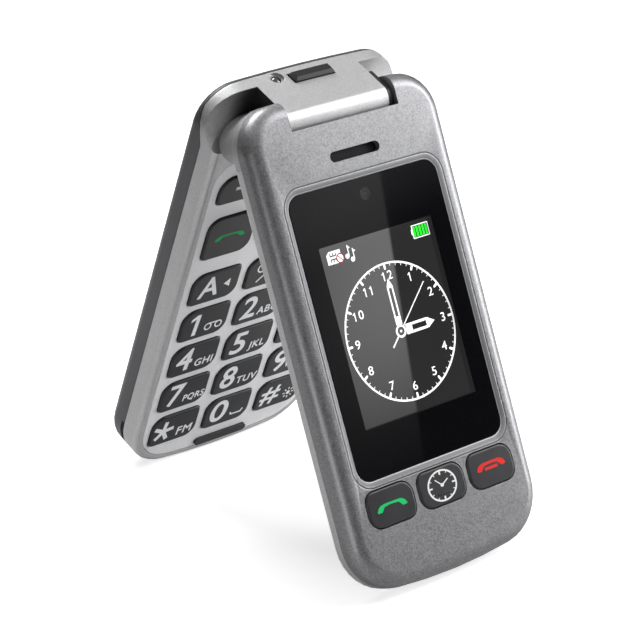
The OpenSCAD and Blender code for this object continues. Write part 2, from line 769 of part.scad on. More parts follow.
// Ribbon cable: rolled inside the pivot, with a tail that drops to the main board
flex_tail_x = [-3, -1];
flex_tail_z = board_top + lie_gap;
module hinge_flex() color([0.55, 0.35, 0.1]) on_base() {
    difference() {
        axle(flex_r, -notch_w / 2 - ear_bore_depth + 0.5, flex_tail_x[1]);
        axle(flex_r - flex_t, -big, big);
    }
    box([flex_tail_x[0], -flex_r - 0.1, flex_tail_z], [flex_tail_x[1], -flex_r + flex_t, 0]);
    box([flex_tail_x[0], -bulkhead - 3, flex_tail_z],
        [flex_tail_x[1], -flex_r + flex_t, flex_tail_z + flex_t]);
}

// Cross slot in a screw's head
module cross(w, l, h) for (a = [0, 90]) rotate(a) translate([-w / 2, -l / 2, -over]) cube([w, l, h + over]);

screw_reach = 1.8;
module base_screws() color(steel) on_base()
    for (p = base_screw_at) translate([p[0], -p[1], screw_seat_z]) {
        translate([0, 0, -fine - thread_gap]) cylinder(r = screw_r, h = board_z + screw_reach - screw_seat_z);
        translate([0, 0, -screw_head_t - thread_gap]) difference() {
            cylinder(r = screw_head_r, h = screw_head_t);
            cross(0.5, 2.2, 0.4);
        }
    }

// ---------- Lid ----------
outer_radii = [2.4, key_r_big, 2.4, key_r_big];
function outer_key(i) = [i * out_key_pitch, out_key_down, out_key_w, out_key_h, outer_radii];
win_radii = [win_r, win_r, win_r, win_r];

module lid_notch() {
    box([-notch_w / 2, -notch_down, -big], [notch_w / 2, big, big]);
    axle(notch_r, -notch_w / 2, notch_w / 2);
}

module ear_bores() {
    axle(shaft_r + thread_gap, 0, notch_w / 2 + ear_bore_depth);
    axle(flex_r + flex_gap, -notch_w / 2 - ear_bore_depth, 0);
    box([-notch_w / 2 - ear_bore_depth, -lid_bulkhead - over, -over], [-notch_w / 2 - over, 0, over]);
}

module lid_hollow(z0, z1) plate(z0, z1) intersection() {
    polygon(outline(lid_wall));
    below(lid_bulkhead);
}

lid_boss_r = 1.9;
bed_t = 0.35;
part_gap = 0.03;
camera_r = 2.6;
module lid_outer_shell() color(shell_grey) on_lid() difference() {
    intersection() {
        body_form(lid_levels);
        plate(lid_part_z + part_gap, big) square(big, center = true);
    }
    difference() {
        lid_hollow(0, skin_z);
        for (p = lid_screw_at) translate([p[0], -p[1], over]) cylinder(r = lid_boss_r, h = big);
    }
    for (p = lid_screw_at) translate([p[0], -p[1], -over]) cylinder(r = screw_r + thread_gap, h = 4);
    lid_notch();
    ear_bores();
    // window bed with its bevel, and the openings to the display and the camera
    plate(win_z, big) polygon(rr(win_w, win_h, win_radii, -loose_gap, 0, -win_down));
    loft([[lid_top - bed_t, rr(win_w, win_h, win_radii, -loose_gap, 0, -win_down)],
          [lid_top + fine, rr(win_w, win_h, win_radii, -loose_gap - bevel_w, 0, -win_down)]]);
    plate(0, big) translate([0, -disp_down]) square([disp_w + 0.6, disp_h + 0.6], center = true);
    plate(0, win_z + fine) translate([0, -camera_down]) circle(r = camera_r + 0.8);
    // keys and speaker slot
    for (i = [-1:1]) plate(0, big) polygon(key_loop(outer_key(i), -key_gap));
    plate(0, big) translate([0, -slot_down]) slot(slot_w, slot_h);
}

ear_inset = 0.35;
earpiece_down = 11;
earpiece_slot = [8, 1.6];
pivot_len = 6;
lid_head_r = 1.6;
lid_head_t = 0.65;
module lid_inner_bezel() color(silver) on_lid() {
    difference() {
        union() {
            intersection() {
                body_form(lid_levels);
                plate(-big, lid_part_z - part_gap) square(big, center = true);
            }
            intersection() {
                for (x = [-big, notch_w / 2]) axle(ear_r, x, x + big - notch_w / 2);
                plate(-big, lid_part_z - part_gap) polygon(outline(ear_inset));
            }
        }
        lid_hollow(lid_in + bezel_skin, lid_part_z);
        lid_notch();
        ear_bores();
        plate(-big, in_win_z + win_t) polygon(rr(in_win_w, in_win_h, win_radii, -loose_gap, 0, -in_down));
        plate(-big, big) translate([0, -in_down]) square([in_disp_w - 2, in_disp_h - 2], center = true);
        plate(-big, big) translate([0, -earpiece_down]) slot(earpiece_slot[0], earpiece_slot[1]);
        for (p = lid_screw_at) translate([p[0], -p[1], -big / 2]) {
            cylinder(r = screw_r + loose_gap, h = big);
            cylinder(r = lid_head_r + bay_gap, h = big / 2 + lid_in + lie_gap + lid_head_t);
        }
    }
    // hollow pivot of the left ear, which turns in the knuckle
    difference() {
        union() {
            axle(barrel_bore - run_gap, -notch_w / 2, -notch_w / 2 + pivot_len);
            intersection() {
                axle(barrel_bore - run_gap, -notch_w / 2 - 2 * ear_gap, -notch_w / 2 + over);
                plate(-big, lid_part_z - part_gap) square(big, center = true);
            }
        }
        axle(flex_r + flex_gap, -big, big);
    }
}

module outer_window() color(glass_black) on_lid()
    plate(win_z, win_z + win_t) polygon(rr(win_w, win_h, win_radii, 0, 0, -win_down));

module outer_display() color([0.12, 0.12, 0.13]) on_lid()
    plate(disp_z, win_z - lie_gap) translate([0, -disp_down]) square([disp_w, disp_h], center = true);

module inner_window() color(glass_black) on_lid()
    plate(in_win_z, in_win_z + win_t) polygon(rr(in_win_w, in_win_h, win_radii, 0, 0, -in_down));

module inner_display() color([0.12, 0.12, 0.13]) on_lid()
    plate(in_disp_z, in_disp_z + in_disp_t)
        translate([0, -in_down]) square([in_disp_w, in_disp_h], center = true);

// Each of these: left, right, nearest and farthest from the hinge
lid_board_side = 7;
lid_board_up = 11.4;
lid_board_bed = [lid_board_side - body_w / 2, body_w / 2 - lid_board_side, 17, free_reach - lid_board_up];
speaker_bed = [-7.6, 7.6, 7.7, 14.6];
earpiece_bed = [-5, 5, 7.8, 13.6];
module lid_board() color(board_green) on_lid() bed_box(lid_board_bed, 0, lid_board_z, lid_board_top);

module camera_module() color(black) on_lid() translate([0, -camera_down, lid_board_top + lie_gap]) {
    translate([0, 0, 0.5]) cube([2.3 * camera_r, 2.3 * camera_r, 1], center = true);
    cylinder(r = camera_r, h = win_z - lid_board_top - 2 * lie_gap);
}

speaker_top = skin_z - 0.5;
module loudspeaker() color(black) on_lid() {
    bed_box(speaker_bed, 0, lid_board_z, speaker_top);
    bed_box(speaker_bed, over, speaker_top - fine, speaker_top + 0.15);
}

module speaker_mesh() color([0.2, 0.2, 0.2]) on_lid()
    plate(speaker_top + 0.18, skin_z - lie_gap) translate([0, -slot_down]) slot(slot_w + 1.4, slot_h + 1.4);

module earpiece() color(black) on_lid()
    bed_box(earpiece_bed, 0, lid_in + bezel_skin + loose_gap, lid_board_z - 0.15);

// Outer keys: their feet stop under the skin, and the mat below them gives way
out_foot_t = 0.35;
out_foot_z = skin_z - lie_gap - out_foot_t;
out_mat_t = 0.55;
out_mat_z = out_foot_z - key_travel - lie_gap - out_mat_t;
out_proud = 0.3;
module outer_keymat() color([0.55, 0.56, 0.58]) on_lid() {
    plate(out_mat_z, out_mat_z + out_mat_t) translate([0, -out_key_down])
        square([win_w + out_key_over + 2 * flange_w, out_key_h + 4], center = true);
    for (i = [-1:1]) translate([i * out_key_pitch, -out_key_down, lid_board_top])
        cylinder(r = nub_r, h = out_mat_z + fine - lid_board_top);
}

module outer_key_cap(i) color(key_black) on_lid() {
    k = outer_key(i);
    top = lid_top + out_proud;
    plate(out_foot_z, out_foot_z + out_foot_t) polygon(key_loop(k, -flange_w));
    loft([[out_foot_z + out_foot_t - fine, key_loop(k, 0)],
          [top - key_edge, key_loop(k, 0)],
          [top - key_edge * 0.3, key_loop(k, key_edge * 0.3)],
          [top, key_loop(k, key_edge)]]);
}

module lid_screws() color(steel) on_lid()
    for (p = lid_screw_at) translate([p[0], -p[1], lid_in + lie_gap]) difference() {
        union() {
            cylinder(r = lid_head_r, h = lid_head_t);
            cylinder(r = screw_r, h = 4);
        }
        cross(0.4, 1.8, 0.35);
    }

base_front_case();
base_chassis();
battery_cover();
battery();
keypad_plate();
keypad_mat();
snap_domes();
main_board();
rf_shield();
vibration_motor();
sim_holder();
usb_connector();
antenna();
torch_led();
torch_lens();
torch_button();
hinge_barrel();
hinge_spring();
hinge_cap();
hinge_shaft();
hinge_flex();
base_screws();
closing_bumper();
keypad_key(soft_left);  // soft_key_left
keypad_key(soft_right);  // soft_key_right
nav_ring_key();  // nav_ring
ok_key_cap();  // ok_key
keypad_key(call_left);  // call_key
keypad_key(call_right);  // end_key
keypad_key(row_key(-1, 0));  // memory_key
keypad_key(row_key(0, 0));  // contacts_key
keypad_key(row_key(1, 0));  // shortcut_key
keypad_key(row_key(-1, 1));  // key_1
keypad_key(row_key(0, 1));  // key_2
keypad_key(row_key(1, 1));  // key_3
keypad_key(row_key(-1, 2));  // key_4
keypad_key(row_key(0, 2));  // key_5
keypad_key(row_key(1, 2));  // key_6
keypad_key(row_key(-1, 3));  // key_7
keypad_key(row_key(0, 3));  // key_8
keypad_key(row_key(1, 3));  // key_9
keypad_key(row_key(-1, 4));  // key_star
keypad_key(row_key(0, 4));  // key_0
keypad_key(row_key(1, 4));  // key_hash
lid_outer_shell();
lid_inner_bezel();
outer_window();
outer_display();
inner_window();
inner_display();
lid_board();
camera_module();
earpiece();
loudspeaker();
speaker_mesh();
outer_keymat();
lid_screws();
outer_key_cap(-1);  // outer_call_key
outer_key_cap(0);  // outer_clock_key
outer_key_cap(1);  // outer_end_key
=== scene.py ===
# %% [markdown]
# # A flip phone with large keys
# The real object is a clamshell phone that stands open like a tent on the free ends of its
# two halves. The solids were made in CAD and come in as a fixed frame: every scene piece here
# sits on them, rides on one of their moving bodies, and keeps their size.
# We could model the whole phone again in Blender, but then the hinge and the keys would have
# to be fitted twice. So the solids stay where their shape is right, and get finishes; the key
# caps, the printing and the lit display are built here, because that is where the eye goes.

# %% Load the packed solids
import json
import math

import bpy
from mathutils import Matrix, Vector


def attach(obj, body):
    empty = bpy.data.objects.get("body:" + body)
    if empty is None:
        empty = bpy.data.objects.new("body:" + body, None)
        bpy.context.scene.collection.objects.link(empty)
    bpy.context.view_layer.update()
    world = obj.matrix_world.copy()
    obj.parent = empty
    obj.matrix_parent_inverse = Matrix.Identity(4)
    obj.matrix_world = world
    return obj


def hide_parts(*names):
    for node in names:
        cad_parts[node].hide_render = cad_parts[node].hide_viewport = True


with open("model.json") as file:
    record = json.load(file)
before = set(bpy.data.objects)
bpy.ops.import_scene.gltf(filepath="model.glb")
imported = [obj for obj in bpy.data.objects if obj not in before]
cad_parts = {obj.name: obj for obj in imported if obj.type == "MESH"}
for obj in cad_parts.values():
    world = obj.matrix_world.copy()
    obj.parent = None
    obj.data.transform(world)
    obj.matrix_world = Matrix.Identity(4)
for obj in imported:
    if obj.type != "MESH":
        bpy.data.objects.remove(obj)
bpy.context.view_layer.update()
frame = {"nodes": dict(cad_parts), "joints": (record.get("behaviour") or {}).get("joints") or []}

# %% [markdown]
# ## Two drawing boards
# On the real phone each half was drawn flat: x across, y up towards the hinge, z out of the
# keypad. Working on a leaning half in room coordinates would be awkward, so each half gets a
# matrix that turns flat millimetres into metres in the room. The lean is not typed in again: a
# key is pressed straight into its half, so the key's own joint says how the half leans.

# %% The flat frames of the base and the lid
def joint(name):
    return next(j for j in frame["joints"] if j["name"] == name)


HINGE = Vector(joint("lid_hinge")["pos_m"])


def drawing_board(press_joint):
    _, y, z = joint(press_joint)["axis"]
    turn = Matrix.Rotation(math.atan2(y, -z), 4, "X")
    return Matrix.Translation(HINGE) @ turn @ Matrix.Scale(0.001, 4)


BASE = drawing_board("key_5_press")
LID = drawing_board("outer_clock_key_press")
print("hinge axis at", [round(v * 1000, 2) for v in HINGE], "mm")

# %% [markdown]
# ## Writing shader maths as Python
# A finish is made of masks, speckles and dents, and each is a small sum. Wiring those sums by
# hand hides what they say. One small class wraps a node's output and lets Python's own
# operators add the Math nodes, and one method, `add`, places any other node. Only the colour,
# roughness, metal, coat, alpha, emission colour and normal ever vary over a surface here.

# %% A value on its way through a material
class Value:
    """One number, colour or vector inside a material."""

    def __init__(self, finish, socket):
        self.finish, self.socket = finish, socket

    def math(self, operation, *others):
        values = dict(enumerate((self, *others)))
        return self.finish.add("ShaderNodeMath", {"operation": operation}, values)

    def __add__(self, other):
        return self.math("ADD", other)

    def __sub__(self, other):
        return self.math("SUBTRACT", other)

    def __rsub__(self, other):
        return self.finish.add("ShaderNodeMath", {"operation": "SUBTRACT"}, {0: other, 1: self})

    def __mul__(self, other):
        return self.math("MULTIPLY", other)

    def __abs__(self):
        return self.math("ABSOLUTE")

    __radd__ = __add__
    __rmul__ = __mul__

    def at_least(self, other):
        return self.math("MAXIMUM", other)

    def rise(self, start, end):
        """0 before start, 1 after end, and a soft step between them."""
        return self.finish.add(
            "ShaderNodeMapRange",
            {"interpolation_type": "SMOOTHSTEP"},
            {"Value": self, "From Min": start, "From Max": end},
        )


known = [name.strip("_") for name, part in vars(Value).items() if callable(part)]
print("a value knows:", ", ".join(known))

# %% [markdown]
# ## A finish
# Blender's Principled shader can stand for paint, plastic, glass and steel, so every finish
# starts from one. What is the same all over the surface is set on its sockets; what varies is
# plugged in. Sizes of grain are given in real millimetres, because a flake that looks right on
# a car looks like gravel on a phone.

# %% The class that builds a finish
def tint(red, green, blue):
    """A screen colour, 0 to 255, as the linear colour that a shader works in."""
    return tuple((v / 255 / 12.92 if v < 11 else ((v / 255 + 0.055) / 1.055) ** 2.4)
                 for v in (red, green, blue))


class Wiring:
    """Adds nodes to one node tree."""

    def __init__(self, tree):
        self.tree = tree

    def feed(self, socket, value):
        if isinstance(value, Value):
            self.tree.links.new(value.socket, socket)
        else:
            socket.default_value = value

    def add(self, kind, settings=None, values=None, out=0):
        node = self.tree.nodes.new(kind)
        for name, setting in (settings or {}).items():
            setattr(node, name, setting)
        for name, value in (values or {}).items():
            self.feed(node.inputs[name], value)
        return Value(self, node.outputs[out])

    def blend(self, amount, first, second):
        """From the first colour to the second as amount goes from 0 to 1."""
        first, second = [(*c, 1) if isinstance(c, tuple) and len(c) == 3 else c
                         for c in (first, second)]
        return self.add("ShaderNodeMix", {"data_type": "RGBA"},
                        {0: amount, 6: first, 7: second}, out=2)

    def along(self, start, direction):
        """How far the surface lies from start in a direction, in millimetres."""
        offset = self.add("ShaderNodeVectorMath", {"operation": "SUBTRACT"},
                          {0: self.place(), 1: start})
        return self.add("ShaderNodeVectorMath", {"operation": "DOT_PRODUCT"},
                        {0: offset, 1: direction}, out="Value") * 1000

    def on_board(self, board):
        """The flat x, y and z of a half, in millimetres."""
        start = board.to_translation()
        return [self.along(start, board.col[i].to_3d().normalized()) for i in range(3)]

    def place(self):
        return self.add("ShaderNodeTexCoord", out="Object")

    def grain(self, size_mm, detail=2.0, roughness=0.5):
        """Soft random spots of about that size, from 0 to 1."""
        return self.add("ShaderNodeTexNoise", None, {
            "Vector": self.place(), "Scale": 1000 / size_mm, "Detail": detail, "Roughness": roughness})

    def flakes(self, size_mm):
        """A random level for each flake of about that size, from 0 to 1."""
        cells = self.add("ShaderNodeTexVoronoi", None,
                         {"Vector": self.place(), "Scale": 1000 / size_mm}, out="Color")
        return self.add("ShaderNodeSeparateColor", None, {0: cells})

    def frame_distance(self, x, y, width, height, radius):
        """Distance outside a rounded rectangle round the middle, negative inside."""
        over_x = (abs(x) - (width / 2 - radius)).at_least(0)
        over_y = (abs(y) - (height / 2 - radius)).at_least(0)
        return (over_x * over_x + over_y * over_y).math("SQRT") - radius


class Finish(Wiring):
    """A material round one Principled shader."""

    def __init__(self, name, colour, roughness, **sockets):
        self.material = bpy.data.materials.new(name)
        self.material.use_nodes = True
        super().__init__(self.material.node_tree)
        self.shader = self.tree.nodes["Principled BSDF"]
        self.set(Base_Color=(*colour, 1), Roughness=roughness, **sockets)

    def set(self, **sockets):
        for name, value in sockets.items():
            self.feed(self.shader.inputs[name.replace("_", " ")], value)
        return self

    def dent(self, height, depth_mm, edge_mm=0.0):
        """Raises and lowers the surface by a pattern, over edges softened by a small radius."""
        values = {"Height": height, "Distance": depth_mm / 1000, "Strength": 1.0}
        if edge_mm:
            values["Normal"] = self.add("ShaderNodeBevel", {"samples": 4}, {"Radius": edge_mm / 1000})
        return self.set(Normal=self.add("ShaderNodeBump", None, values))


print("a mid grey of 128 is", [round(v, 3) for v in tint(128, 128, 128)], "in the shader")

# %% [markdown]
# ## Metallic paint
# The two halves are moulded plastic under sprayed paint full of fine metal flakes. The flakes
# give it a sandy sparkle, a strong change from light to dark, and soft highlights. We could
# scatter bright dots, but they would look printed; giving each tiny cell its own level of
# colour and roughness makes it catch the lamps as real flakes do.

# %% Painted finishes
def painted(name, colour, metal, roughness, sparkle=0.35, flake_mm=0.2, edge_mm=0.12):
    paint = Finish(name, colour, roughness, Metallic=metal)
    level = paint.flakes(flake_mm)
    cloud = paint.grain(9, 3)
    dark = tuple(v * (1 - sparkle) for v in colour)
    light = tuple(min(v * (1 + sparkle), 1) for v in colour)
    paint.set(Base_Color=paint.blend(level * 0.8 + cloud * 0.2, dark, light),
              Roughness=level * 0.16 + cloud * 0.06 + (roughness - 0.11))
    return paint.dent(paint.grain(0.35, 3), 0.004, edge_mm)


silver = painted("silver_paint", tint(192, 192, 193), 0.55, 0.42, 0.14)
plate_silver = painted("plate_paint", tint(234, 234, 236), 0.2, 0.42, 0.06)
cover_paint = painted("cover_paint", tint(88, 88, 91), 0.45, 0.40, 0.16)
print("paint finishes:", [paint.material.name for paint in (silver, plate_silver, cover_paint)])

# %% [markdown]
# ## The lid's paint and the frame round its window
# The lid is a darker silver, with a coarser flake. Round the black window runs a polished bevel,
# and outside it a fine moulded groove. Both follow the window's rounded outline, so we measure
# the distance to that outline in the shader and colour narrow bands of it: the bevel as a matte
# grey band with a painted highlight along the glass, and the groove dented and darkened with
# painted shade.

# %% Lid paint with the bevel's painted highlight and the groove's painted shade
WINDOW = {"width": 42.0, "height": 63.0, "down": 47.9, "radius": 3.4}
OUTER_FACE = (4.6, 4.9)
BEVEL_EDGE = (0.95, 1.2)

lid_paint = painted("lid_paint", tint(137, 137, 139), 0.7, 0.43, 0.28, 0.24, 0.0)
x, y, z = lid_paint.on_board(LID)
rim = lid_paint.frame_distance(x, y + WINDOW["down"], WINDOW["width"], WINDOW["height"],
                               WINDOW["radius"])
outer_face = z.rise(*OUTER_FACE)
bevel = (1 - rim.rise(*BEVEL_EDGE)) * outer_face
groove = rim.rise(1.3, 1.5) * (1 - rim.rise(1.6, 1.8)) * outer_face
colour_now = Value(lid_paint, lid_paint.shader.inputs["Base Color"].links[0].from_socket)
rough_now = Value(lid_paint, lid_paint.shader.inputs["Roughness"].links[0].from_socket)
# Painted highlight: a thin lighter line along the glass edge stands in for the light that the polished
# bevel catches.
painted_highlight_line = (1 - rim.rise(0.25, 0.4)) * outer_face
banded = lid_paint.blend(bevel, colour_now, tint(120, 120, 122))
banded = lid_paint.blend(painted_highlight_line * 0.8, banded, tint(190, 190, 192))
# Painted shade: the groove is darkened in the colour, as well as dented below.
lid_paint.set(
    Base_Color=lid_paint.blend(groove * 0.8, banded, tint(60, 60, 62)),
    Roughness=rough_now * (1 - bevel) + bevel * 0.6,
)
lid_paint.dent(lid_paint.grain(0.35, 3) * (1 - bevel) * 0.06 - groove, 0.05)
print("bevel band", sum(BEVEL_EDGE) / 2, "mm wide round", WINDOW["width"], "x", WINDOW["height"], "mm")

# %% [markdown]
# ## The hinge pockets
# Beside the knuckle the base has two round pockets in which the lid's ears turn. On the left
# one the opening is a fraction of a millimetre, so hardly any light gets in and it looks black
# near the knuckle. The knuckle's own lower edge tucks under the lid and is dark too. Leaving
# this to the lamps would be right in every pose, but it came out paler than the photograph, so
# the paint itself is darker there. That has a price: it is fitted to the phone standing half
# open. It stays on the knuckle when the lid opens, and the lid's bezel, which shares this paint,
# gets the pocket's shade on its left ear.

# %% Painted shade in the left pocket, on the knuckle and round the torch
POCKET = {"side": -14.72, "radius": 8.55}
TORCH = {"x": -8.6, "z": -8.8, "radius": 1.8}
SOFT = 0.1

bx, by, bz = silver.on_board(BASE)
from_axis = (by * by + bz * bz).math("SQRT")
pocket = bx.math("LESS_THAN", POCKET["side"])
pocket = pocket * (1 - from_axis.rise(POCKET["radius"] - SOFT, POCKET["radius"] + SOFT))
pocket = pocket * (1 - (bx * -1).rise(15.5, 22) * 0.75)
_, lid_y, _ = silver.on_board(LID)
knuckle = (1 - abs(bx).rise(14.85, 14.9)) * (1 - from_axis.rise(8.0, 8.5))
tucked = knuckle * (1 - lid_y.rise(-4.6, -3.2)) * 0.8
# Painted shade inside the torch's recess, round its lens.
torch_x, torch_z = bx - TORCH["x"], bz - TORCH["z"]
from_torch = (torch_x * torch_x + torch_z * torch_z).math("SQRT")
recess = (1 - from_torch.rise(TORCH["radius"] - SOFT, TORCH["radius"] + SOFT)) * by.rise(5.0, 6.0)
silver_now = Value(silver, silver.shader.inputs["Base Color"].links[0].from_socket)
# Painted shade: the left pocket, the knuckle's lower edge under the lid and the torch's recess are
# darkened in the silver's colour.
painted_shade = (pocket * 0.93).at_least(recess * 0.9).at_least(tucked)
silver.set(Base_Color=silver.blend(painted_shade, silver_now, tint(14, 14, 15)))
print("pocket radius", POCKET["radius"], "mm, torch recess radius", TORCH["radius"], "mm")

# %% [markdown]
# ## Plastics, rubber and metal
# Everything else inside and out is one of a few shop materials. Moulded plastic has a faint
# spark-eroded grain and slight colour drift; sheet steel is rolled, so its streaks run one
# way; circuit boards are green lacquer over copper tracks.

# %% Shop materials
def moulded(name, colour, roughness, grain_mm=0.25, depth_mm=0.004, edge_mm=0.1, **sockets):
    plastic = Finish(name, colour, roughness, **sockets)
    drift = plastic.grain(6, 2)
    darker, lighter = (tuple(v * level for v in colour) for level in (0.85, 1.15))
    plastic.set(Base_Color=plastic.blend(drift, darker, lighter),
                Roughness=drift * 0.1 + (roughness - 0.05))
    return plastic.dent(plastic.grain(grain_mm, 2), depth_mm, edge_mm)


def rolled(name, colour, roughness):
    sheet = Finish(name, colour, roughness, Metallic=1.0)
    stretched = sheet.add("ShaderNodeVectorMath", {"operation": "MULTIPLY"},
                          {0: sheet.place(), 1: (0.06, 1, 1)})
    streaks = sheet.add("ShaderNodeTexNoise", None, {"Vector": stretched, "Scale": 4000, "Detail": 3.0})
    sheet.set(Base_Color=sheet.blend(streaks, tuple(v * 0.8 for v in colour), colour),
              Roughness=streaks * 0.2 + (roughness - 0.1))
    return sheet.dent(streaks, 0.003, 0.05)


def circuit(name):
    board = Finish(name, tint(20, 82, 48), 0.35, Coat_Weight=0.4)
    cells = board.add("ShaderNodeTexVoronoi", {"feature": "DISTANCE_TO_EDGE"},
                      {"Vector": board.place(), "Scale": 420}, out="Distance")
    tracks = 1 - cells.rise(0.03, 0.06)
    pads = board.flakes(1.4).rise(0.93, 0.94)
    colour = board.blend(tracks * 0.5, tint(18, 78, 45), tint(58, 128, 78))
    board.set(Base_Color=board.blend(pads, colour, tint(208, 180, 108)), Metallic=pads * 0.8)
    return board.dent(tracks + pads, 0.02)


black_plastic = moulded("black_plastic", tint(34, 34, 36), 0.42)
torch_black = moulded("torch_black", tint(20, 20, 22), 0.3, 0.3, 0.002)
key_plastic = moulded("key_plastic", tint(40, 40, 43), 0.36, 0.3, 0.003, 0.0)
keypad_black = moulded("keypad_black", tint(27, 27, 30), 0.4, 0.3, 0.003, 0.0)
bumper_rubber = moulded("bumper_rubber", tint(44, 44, 46), 0.6, 0.2, 0.008)
silicone = moulded("silicone", tint(150, 152, 158), 0.55, 0.6)
steel = rolled("rolled_steel", tint(186, 188, 192), 0.32)
dark_steel = rolled("dark_steel", tint(92, 92, 96), 0.38)
green_board = circuit("green_board")
amber_film = moulded("amber_film", tint(196, 118, 36), 0.3, 0.8, 0.002, 0.0)
gold_film = rolled("gold_film", tint(214, 178, 104), 0.35)
lamp_white = moulded("lamp_white", tint(238, 226, 170), 0.3, 0.8, 0.002, 0.0)
cell_wrap = moulded("cell_wrap", tint(64, 66, 74), 0.45, 1.2, 0.01)
panel_off = moulded("panel_off", tint(16, 17, 20), 0.2, 2.0, 0.001, 0.0, Coat_Weight=0.6)
lens_clear = moulded("lens_clear", tint(40, 40, 44), 0.08, 2.0, 0.001, 0.0, Coat_Weight=1.0)
print("materials so far:", len(bpy.data.materials))

# %% [markdown]
# ## The speaker's cloth
# Behind the slot lies a fine woven mesh. Cutting its holes would need thousands of faces for
# something smaller than a grain of rice, so two crossed waves dent and darken it instead.

# %% Woven mesh
mesh_cloth = Finish("mesh_cloth", tint(24, 24, 26), 0.7, Specular_IOR_Level=0.2)
mx, my, _ = mesh_cloth.on_board(LID)
WAVES = 16
weave = (mx * WAVES).math("SINE") * (my * WAVES).math("SINE")
mesh_cloth.set(Base_Color=mesh_cloth.blend(weave.rise(-0.2, 0.6), tint(8, 8, 9), tint(40, 40, 42)))
mesh_cloth.dent(weave, 0.02)
print("weave repeats every", round(2 * math.pi / WAVES, 2), "mm")

# %% [markdown]
# ## The windows
# Each window is a thin clear plate, printed black on its back except over the display. The
# print is solid, so it keeps full alpha; over the display the plate is nearly clear, and the
# picture below shows through it. The opening is a little wider at the back, or the plate's
# thickness would show as a black line. A clear coat gives the print its hard reflection.

# %% Printed glass
LIT = {"x": 0.1, "down": 48.7, "width": 32.3, "height": 40.2}
CAMERA_DOWN = 20.0


def printed_glass(name, x_mid, down, width, height, clear, dot_down=None):
    black = tint(11, 11, 14)
    glass = Finish(name, black, 0.02, Coat_Weight=1.0, Coat_Roughness=0.0)
    gx, gy, gz = glass.on_board(LID)
    wider_behind = (1 - gz.rise(*OUTER_FACE)) * 0.7
    from_print = glass.frame_distance(gx - x_mid, gy + down, width, height, 0.4)
    inside = 1 - (from_print - wider_behind).rise(-0.04, 0.04)
    clearness = inside * clear
    if dot_down:
        dx, dy = gx, gy + dot_down
        dot = 1 - (dx * dx + dy * dy).math("SQRT").rise(1.35, 1.5)
        clearness = clearness.at_least(dot * 0.4)
        glass.set(Base_Color=glass.blend(dot, black, tint(66, 66, 69)))
    smear = glass.grain(14, 2)
    glass.set(Alpha=1 - clearness, Roughness=smear * 0.02 + 0.01)
    return glass


outer_glass = printed_glass("outer_glass", LIT["x"], LIT["down"], LIT["width"], LIT["height"],
                            0.97, CAMERA_DOWN)
inner_glass = printed_glass("inner_glass", 0, 58, 38, 51, 0.5)
print("lit field", LIT["width"], "x", LIT["height"], "mm")

# %% [markdown]
# ## Dressing the solids
# Each solid comes in as flat facets. A shop would break every hard edge a little, and curved
# faces must look curved, so a small Geometry Nodes modifier joins the facets, smooths the
# shallow edges and keeps the hard ones. Weighted normals keep large flats flat. Both are
# modifiers, so the solids themselves stay exactly as the checks saw them.

# %% Smooth shading that keeps hard edges
def shading_group():
    group = bpy.data.node_groups.new("smooth_shallow_edges", "GeometryNodeTree")
    group.interface.new_socket("Geometry", in_out="INPUT", socket_type="NodeSocketGeometry")
    group.interface.new_socket("Geometry", in_out="OUTPUT", socket_type="NodeSocketGeometry")
    wire = Wiring(group)
    start = wire.add("NodeGroupInput")
    joined = wire.add("GeometryNodeMergeByDistance", None,
                      {"Geometry": start, "Distance": 0.000002})
    round_all = wire.add("GeometryNodeSetShadeSmooth", {"domain": "FACE"},
                         {"Geometry": joined, "Shade Smooth": True})
    angle = wire.add("GeometryNodeInputMeshEdgeAngle", out="Unsigned Angle")
    shallow = angle.math("LESS_THAN", math.radians(32))
    finished = wire.add("GeometryNodeSetShadeSmooth", {"domain": "EDGE"},
                        {"Geometry": round_all, "Shade Smooth": shallow})
    out = group.nodes.new("NodeGroupOutput")
    wire.feed(out.inputs[0], finished)
    return group


SHADING = shading_group()


def smooth(obj):
    obj.modifiers.new("shading", "NODES").node_group = SHADING
    weighted = obj.modifiers.new("flats", "WEIGHTED_NORMAL")
    weighted.keep_sharp = True
    return obj


DRESS = {
    silver: ["base_front_case", "lid_inner_bezel"],
    plate_silver: ["keypad_plate"],
    cover_paint: ["battery_cover"],
    lid_paint: ["lid_outer_shell"],
    black_plastic: ["base_chassis", "hinge_cap", "camera_module", "earpiece", "loudspeaker"],
    torch_black: ["torch_button"],
    bumper_rubber: ["closing_bumper"],
    silicone: ["keypad_mat", "outer_keymat"],
    steel: ["snap_domes", "rf_shield", "vibration_motor", "sim_holder", "usb_connector",
            "hinge_barrel", "hinge_spring", "hinge_shaft"],
    dark_steel: ["base_screws", "lid_screws"],
    green_board: ["main_board", "lid_board"],
    amber_film: ["hinge_flex"],
    gold_film: ["antenna"],
    lamp_white: ["torch_led"],
    lens_clear: ["torch_lens"],
    cell_wrap: ["battery"],
    panel_off: ["inner_display", "outer_display"],
    mesh_cloth: ["speaker_mesh"],
    outer_glass: ["outer_window"],
    inner_glass: ["inner_window"],
}
for finish, names in DRESS.items():
    for name in names:
        solid = frame["nodes"][name]
        solid.data.materials.clear()
        solid.data.materials.append(finish.material)
        smooth(solid)
dressed = {name for names in DRESS.values() for name in names}
print("solids dressed:", len(dressed), "left for key caps:", len(frame["nodes"]) - len(dressed))

# %% [markdown]
# ## Key caps
# A key cap is a small moulding with two large corners and two small ones, a soft top edge and
# a flat face. A bevelled box would round all corners alike, so each cap is lofted: the same
# outline is stacked in rings, drawn in a little at each step round the edge. The cap takes the
# place of its plain solid and rides on the same body, so it presses with it.

